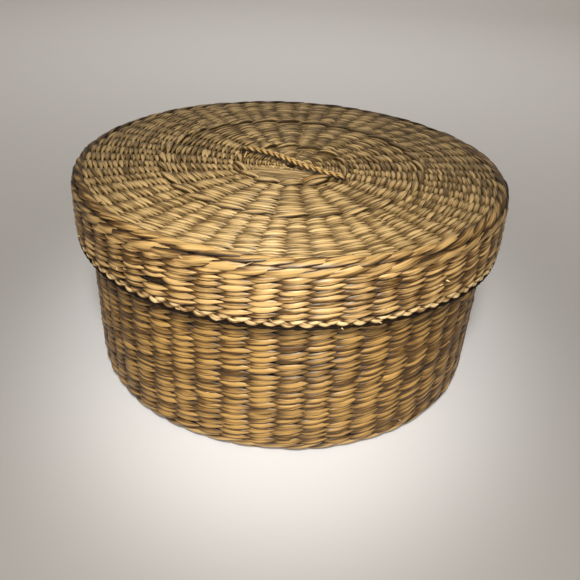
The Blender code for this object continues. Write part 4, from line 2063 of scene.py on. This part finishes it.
@dataclass(frozen=True)
class Studio:
    """Pale floor, soft lamps and the camera at the photograph's place.

    The floor sweeps up into a backdrop at a share of its half size behind the middle.
    """

    floor_size: float = 6.0
    floor_share: float = 0.35
    sweep_radius: float = 0.5
    sweep_start: float = 0.15
    sweep_steps: int = 12
    floor_colour: Colour = (226, 223, 220)
    floor_roughness: float = 0.9
    floor_gloss: float = 0.1
    sky_colour: Colour = (255, 247, 232)
    sky_level: float = 0.28
    sky_seen_colour: Colour = (214, 213, 212)
    camera_at: Point = (0.0033, -0.3107, 0.2118)
    pitch: float = math.radians(30.98)
    yaw: float = math.radians(-0.15)
    roll: float = math.radians(2.91)
    focal_pixels: float = 700.0
    image_pixels: int = 580
    sensor_width: float = 36.0
    nearest: float = 0.01
    key: Lamp = Lamp(
        "key", LampKind.CONE, (0.0, -0.37, 0.41), (0.0, -0.08, 0.08), 0.04, 11.5, math.radians(32)
    )
    wash: Lamp = Lamp(
        "wash", LampKind.CONE, (0.0, -0.56, 0.36), (0.0, -0.05, 0.0), 0.1, 5.0, math.radians(110)
    )
    backdrop: Lamp = Lamp("backdrop", LampKind.DISC, (0.0, 0.5, 0.8), (0.0, 1.3, 0.1), 0.6, 3.5)

    def build(self) -> None:
        """Make the floor, the lamps, the sky and the camera."""
        self.floor()
        for lamp in (self.key, self.wash, self.backdrop):
            lamp.hang()
        self.sky()
        self.camera()

    def floor(self) -> None:
        """Lay the floor, which sweeps up behind as a backdrop."""
        half, radius = self.floor_size / 2, self.sweep_radius
        back = half * self.floor_share
        turns = np.linspace(self.sweep_start, math.pi / 2, self.sweep_steps)
        profile = [(-half, 0.0), (back, 0.0)]
        profile += [(back + radius * math.sin(a), radius - radius * math.cos(a)) for a in turns]
        profile += [(back + radius, half)]
        points = [(x, y, z) for y, z in profile for x in (-half, half)]
        faces = [(2 * i, 2 * i + 1, 2 * i + 3, 2 * i + 2) for i in range(len(profile) - 1)]
        mesh = bpy.data.meshes.new("studio_floor")
        mesh.from_pydata(points, [], faces)
        mesh.shade_smooth()
        material = bpy.data.materials.new("pale studio floor")
        material.use_nodes = True
        shader = material.node_tree.nodes["Principled BSDF"]
        shader.inputs["Base Color"].default_value = linear(self.floor_colour)
        shader.inputs["Roughness"].default_value = self.floor_roughness
        shader.inputs["Specular IOR Level"].default_value = self.floor_gloss
        mesh.materials.append(material)
        item = bpy.data.objects.new("studio_floor", mesh)
        bpy.context.scene.collection.objects.link(item)

    def sky(self) -> None:
        """Set the world: dim and warm on the basket, and pale grey where the camera sees it."""
        world = bpy.context.scene.world or bpy.data.worlds.new("studio_world")
        bpy.context.scene.world = world
        world.use_nodes = True
        wiring = Wiring(world.node_tree)
        path = wiring.add("ShaderNodeLightPath")
        share, lighting, seen, mixed = wiring.colour_mix()
        lighting.default_value = [self.sky_level * part for part in linear(self.sky_colour)]
        seen.default_value = linear(self.sky_seen_colour)
        wiring.join(path.outputs["Is Camera Ray"], share)
        wiring.join(mixed, world.node_tree.nodes["Background"].inputs["Color"])

    def camera(self) -> None:
        """Place the camera and make it the scene's."""
        level = math.cos(self.pitch)
        ahead = math.sin(self.yaw) * level, math.cos(self.yaw) * level
        forward = Vector((*ahead, -math.sin(self.pitch)))
        right = Vector((math.cos(self.yaw), -math.sin(self.yaw), 0.0))
        up = right.cross(forward)
        tilted_right = right * math.cos(self.roll) + up * math.sin(self.roll)
        tilted_up = tilted_right.cross(forward)
        turn = Matrix((tilted_right, tilted_up, -forward)).transposed()
        camera = bpy.data.cameras.new("photo_camera")
        camera.sensor_fit = "HORIZONTAL"
        camera.sensor_width = self.sensor_width
        camera.lens = self.focal_pixels / self.image_pixels * self.sensor_width
        camera.clip_start = self.nearest
        item = bpy.data.objects.new("photo_camera", camera)
        item.matrix_world = Matrix.Translation(self.camera_at) @ turn.to_4x4()
        bpy.context.scene.collection.objects.link(item)
        bpy.context.scene.camera = item


def main() -> None:
    """Build the studio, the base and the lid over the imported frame, and report each piece."""
    logging.basicConfig(level=logging.INFO, format="%(name)s: %(message)s")
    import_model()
    bpy.context.scene.view_settings.view_transform = "Standard"
    Studio().build()
    for assembly in (Base(), Lid()):
        for item in assembly.build():
            LOG.info("%s: %d faces", item.name, len(item.data.polygons))


if __name__ == "__main__":
    main()
